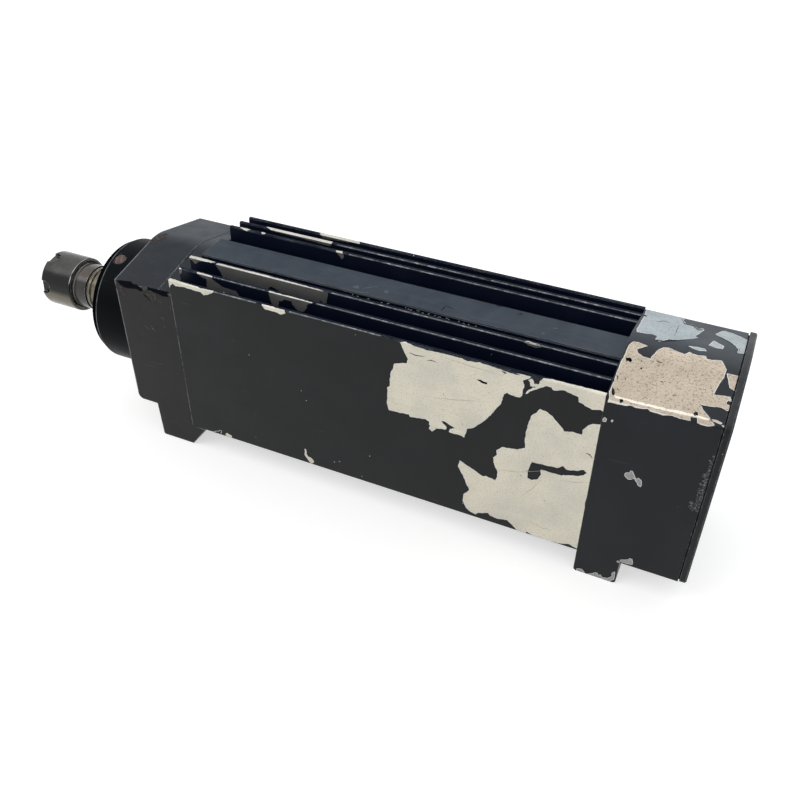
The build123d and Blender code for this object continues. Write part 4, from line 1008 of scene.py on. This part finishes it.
side_hairlines = [
    stroke([(440, 356), (470, 366), (503, 376)], 0.5),
    stroke([(424, 396), (452, 399.6), (486, 402)], 0.5),
    stroke([(498, 470), (518, 472), (545, 470.6)], 0.5),
    stroke([(520, 497), (533, 488), (541, 480)], 0.5),
    stroke([(560, 480), (574, 482.4), (590, 481.6)], 0.45),
    stroke([(527, 520), (541, 527.6), (552, 530)], 0.5),
]
roof_spots = [
    [(625.4, 357.4), (628, 357.8), (630, 357.4), (632.4, 360), (630.6, 362.6), (628, 360.6), (626.6, 362)],
    [(640.6, 367.4), (642.4, 367.8), (642, 369.6), (640.4, 369)],
    [(612.6, 386.8), (614.6, 389.6), (615, 393.6), (613.2, 396), (611.6, 393), (612, 389.6)],
    [(619.4, 399.2), (622.6, 399), (623.8, 401.4), (621.6, 403), (619.8, 401.8)],
    [(693, 413.6), (695.4, 411.6), (698, 412.4), (698.2, 415.6), (695, 416.4)],
    stroke([(656, 360.6), (659, 362.2), (663, 363)], 1.0),
    stroke([(660, 381.4), (662, 381.8), (663.6, 383)], 0.9),
    stroke([(672, 395.6), (674.6, 395), (677, 396)], 0.8),
    stroke([(616.2, 375), (618, 377), (617.6, 380)], 1.3),
    stroke([(617, 388), (618, 390), (620, 390.4)], 0.9),
]
roof_hairlines = [
    stroke([(642, 383), (643.4, 388), (643, 393.4)], 0.6),
    stroke([(679, 379), (690, 377.4), (700, 380.4)], 0.45),
    stroke([(622, 386), (630, 390.4), (640, 392)], 0.45),
    stroke([(680, 403.4), (684, 405.4), (688, 404)], 0.5),
]
# Painted shadow: dark lines mostly along the far roof chips' edges, where the paint's edge would shade the
# metal.
far_roof_shadow_lines = [
    stroke([(682, 318.4), (684.4, 323.6), (693.6, 326), (698, 330), (704, 329.4)], 0.8),
    stroke([(651, 334), (656.6, 336.4), (655, 340), (663.6, 341.2), (677, 340.6), (697, 338.6)], 0.8),
    stroke([(679, 325), (677, 330), (674.6, 336)], 0.6),
    stroke([(656, 322), (664, 321), (671, 323.4)], 0.45),
    stroke([(737, 349.6), (739.4, 349), (738.6, 353)], 0.7),
    stroke([(716, 335), (729.6, 342), (736, 346.6)], 0.7),
    stroke([(642.4, 316), (645, 315.4), (647, 316.6)], 1.4),
]
rail_bumps = [
    [(352.6, 286.6), (356, 285.4), (359.4, 286.4), (358, 288.6), (354.4, 288.4)],
    [(384.4, 291.6), (387, 289.6), (389, 291.4), (387.4, 293.6), (385.2, 293)],
    stroke([(362, 288.6), (370, 287.4), (378, 286.4)], 0.9),
    stroke([(353, 290), (362, 292.6), (372, 292)], 0.7),
    stroke([(553, 329), (555.6, 328), (558, 328.8)], 1.2),
    stroke([(541, 333.6), (543.4, 333), (545, 334)], 1.0),
]
rail_scratch = [
    stroke([(441, 311), (443.4, 308.4), (446, 305.6)], 0.9),
    stroke([(446, 305.6), (450, 307.6), (454.6, 309.4)], 0.6),
    stroke([(518, 314.6), (520.6, 313.6), (523, 314.8)], 0.9),
    stroke([(496, 305), (499, 306.4), (503, 306)], 0.7),
]
rail_edge_dots = []
for dot in range(34):
    left = 352 + dot * 3.7 + 1.6 * sin(dot * 2.3)
    top = 294.4 + (left - 352) * 0.257 + 0.5 * sin(dot * 1.7)
    half = (1.1 + 0.9 * abs(sin(dot * 1.1))) / 2
    if sin(dot * 0.9 + dot * dot) > -0.3:
        rail_edge_dots.append(stroke([(left + k * half, top + k * 0.2) for k in range(3)], 0.9))

near_edge_stretches = {
    0: [(-48, -26), (-9, 36)],
    1: [(-54, -27), (0, 133)],
    2: [(3, 133)],
    3: [(-6, 133)],
    4: [(-18, 133)],
}
far_edge_stretches = {1: [(3, 133)], 2: [(3, 133)], 3: [(3, 133)], 4: [(3, 133)]}


def housing_skin(start, end):
    """A stretch of the housing's outline."""
    return Skin("finned_housing", (housing_low.x + housing_high.x) / 2, start, end)


def fin_skin(index):
    """The two faces and the tip of one fin; the outermost one starts at the housing's far side."""
    middle = (-fin_middle + fin_pitch * index) if index < 3 else (fin_middle - fin_pitch * (5 - index))
    start = (housing_high.y, outer_tip_height) if index == 5 else (middle + fin_half_root, fin_root_height)
    return housing_skin(start, (middle - fin_half_root, fin_root_height))


side = housing_skin((fin_half_root - fin_middle, fin_root_height), (housing_low.y, housing_low.z))
fins = [side] + [fin_skin(index) for index in range(1, 6)]
rail = housing_skin((rail_half - 0.5 * mm, fin_root_height), (0.5 * mm - rail_half, fin_root_height))
roof = Skin("rear_block", block_low.x + 5 * mm, (block_high.y, axis_height), (block_low.y, block_low.z))
casting = Skin(
    "front_casting", (casting_low.x + casting_high.x) / 2, (casting_high.y, axis_height),
    (casting_low.y, casting_step_height),
)

chip("chip_side_upper", side, [upper_side_chip], side_metal)
chip("chip_side_rear_edge", side, [rear_edge_chip], side_metal)
chip("chip_side_lower", side, [lower_side_chip], side_metal, [paint_island])
chip("chip_side_bottom", side, [bottom_chip, bottom_spot, comma_chip], side_metal)
chip("chip_first_fin", side, [first_fin_front, first_fin_middle], side_metal)
for fin, (number, outlines) in zip(fins[1:], fin_chips.items()):
    chip("chip_" + number + "_fin", fin, outlines, fin_metal, broken_edge=fin_metal)
chip("chip_roof_near", roof, [near_roof_chip, eave_sliver], roof_metal, roof_islands)
chip("chip_roof_corner", roof, [roof_corner_chip], roof_metal)
chip("chip_roof_far", roof, [far_roof_chip], grey_metal)
chip("chip_roof_far_corner", roof, [far_corner_chip], grey_metal)
chip("chip_ridge", roof, [ridge_chip, ridge_sliver], grey_metal)
chip("chip_block_side", roof, [bell_chip, foot_patch, foot_dash, joint_spot, *block_specks], scraped_metal)
chip("chip_block_foot", roof, [foot_front_chip, foot_edge_chip], scraped_metal)
# Painted highlight along the near eave of the rear block.
marks("eave_highlight_band", roof, [eave_band], eave_highlight_metal, 1.2)
marks("plate_edge_scrape", roof, [edge_scrape], scraped_edge)
marks("old_paint_side", side, side_spots, grime_and_shadow, 0.4)
marks("hairlines_side", side, side_hairlines, hairline, 0.8)
marks("old_paint_roof", roof, roof_spots, grime_and_shadow, 0.4)
marks("hairlines_roof", roof, roof_hairlines, hairline)
# Painted shadow along the edges of the far roof chips.
marks("chip_edge_shadow_lines", roof, far_roof_shadow_lines, grime_and_shadow, 0.3)
marks("rail_bumps", rail, rail_bumps, worn_rail, 0.3)
marks("rail_scratch", rail, rail_scratch, grime_and_shadow, 0.2)
marks("rail_edge_dots", rail, rail_edge_dots, fresh_metal, 0.2)
# Painted highlights along the fins' tips, lighter on the near edges.
rubbed_highlight_lines("near_edge_wear_and_highlight", -rub_lean, worn_near_edge_highlight, near_edge_stretches)
rubbed_highlight_lines("far_edge_wear_and_highlight", rub_lean, worn_far_edge_highlight, far_edge_stretches)
marks("casting_rust", casting, [ridge_rust, eave_rust, corner_rust], rust_brown)
marks("casting_grime", casting, [eave_grime_front, eave_grime_rear], grime_and_shadow)
marks("casting_scuffs", casting, casting_scuffs, scuffed_paint, 0.3)


# Floor, world and lamps

def flat_floor(size, height):
    """A square floor under the feet."""
    data = bpy.data.meshes.new("floor")
    corners = [(x * size, y * size, height) for x, y in ((-1, -1), (1, -1), (1, 1), (-1, 1))]
    data.from_pydata(corners, [], [(0, 1, 2, 3)])
    floor = bpy.data.objects.new("floor", data)
    bpy.context.scene.collection.objects.link(floor)
    return floor


def floor_material():
    """Pale floor: plain white that the object's shadow falls on."""
    s = Shader("floor_white", floor_color)
    s.finish(0.9)
    glow = s.made("ShaderNodeEmission", {"Strength": s.times(s.seen_ray(), floor_glow)})
    both = s.made("ShaderNodeAddShader", {0: s.tree.nodes["Principled BSDF"].outputs[0], 1: glow})
    s.feed(s.tree.nodes["Material Output"].inputs["Surface"], both)
    return s.material


def world_light():
    """Soft light, a little warm and weaker at the horizon, with a white background for the camera."""
    world = bpy.data.worlds.new("studio")
    bpy.context.scene.world = world
    world.use_nodes = True
    s = Nodes(world.node_tree)
    height = s.part("Z", s.made("ShaderNodeTexCoord", {}, "Generated"))
    sky = s.mix(height, horizon_color, sky_color)
    s.feed(s.tree.nodes["Background"].inputs["Color"], s.mix(s.seen_ray(), sky, (1, 1, 1)))


def softbox(name, place, target, size, power):
    """A square area lamp that faces a target."""
    data = bpy.data.lights.new(name, "AREA")
    data.size = size
    data.energy = power
    lamp = bpy.data.objects.new(name, data)
    lamp.location = place
    lamp.rotation_euler = (Vector(target) - Vector(place)).to_track_quat("-Z", "Y").to_euler()
    bpy.context.scene.collection.objects.link(lamp)


flat_floor(floor_half, cad_low.z).data.materials.append(floor_material())
world_light()
softbox("key", (-0.5, -0.6, 1.1), lit_place, 0.9, 4)
softbox("back", (0.3, 0.9, 0.9), lit_place, 1.0, 3)


# Camera

def photograph_camera():
    """The camera that the photograph was taken with, as far as its lines tell."""
    data = bpy.data.cameras.new("camera")
    data.sensor_width = sensor_width
    data.lens = focal_pixels * sensor_width / (2 * picture_middle)
    data.clip_start = 10 * mm
    camera = bpy.data.objects.new("camera", data)
    turn = Matrix((camera_right, camera_up, camera_back)).transposed()
    camera.matrix_world = Matrix.Translation(camera_place) @ turn.to_4x4()
    bpy.context.scene.collection.objects.link(camera)
    bpy.context.scene.camera = camera


photograph_camera()
bpy.context.scene.view_settings.view_transform = "Standard"
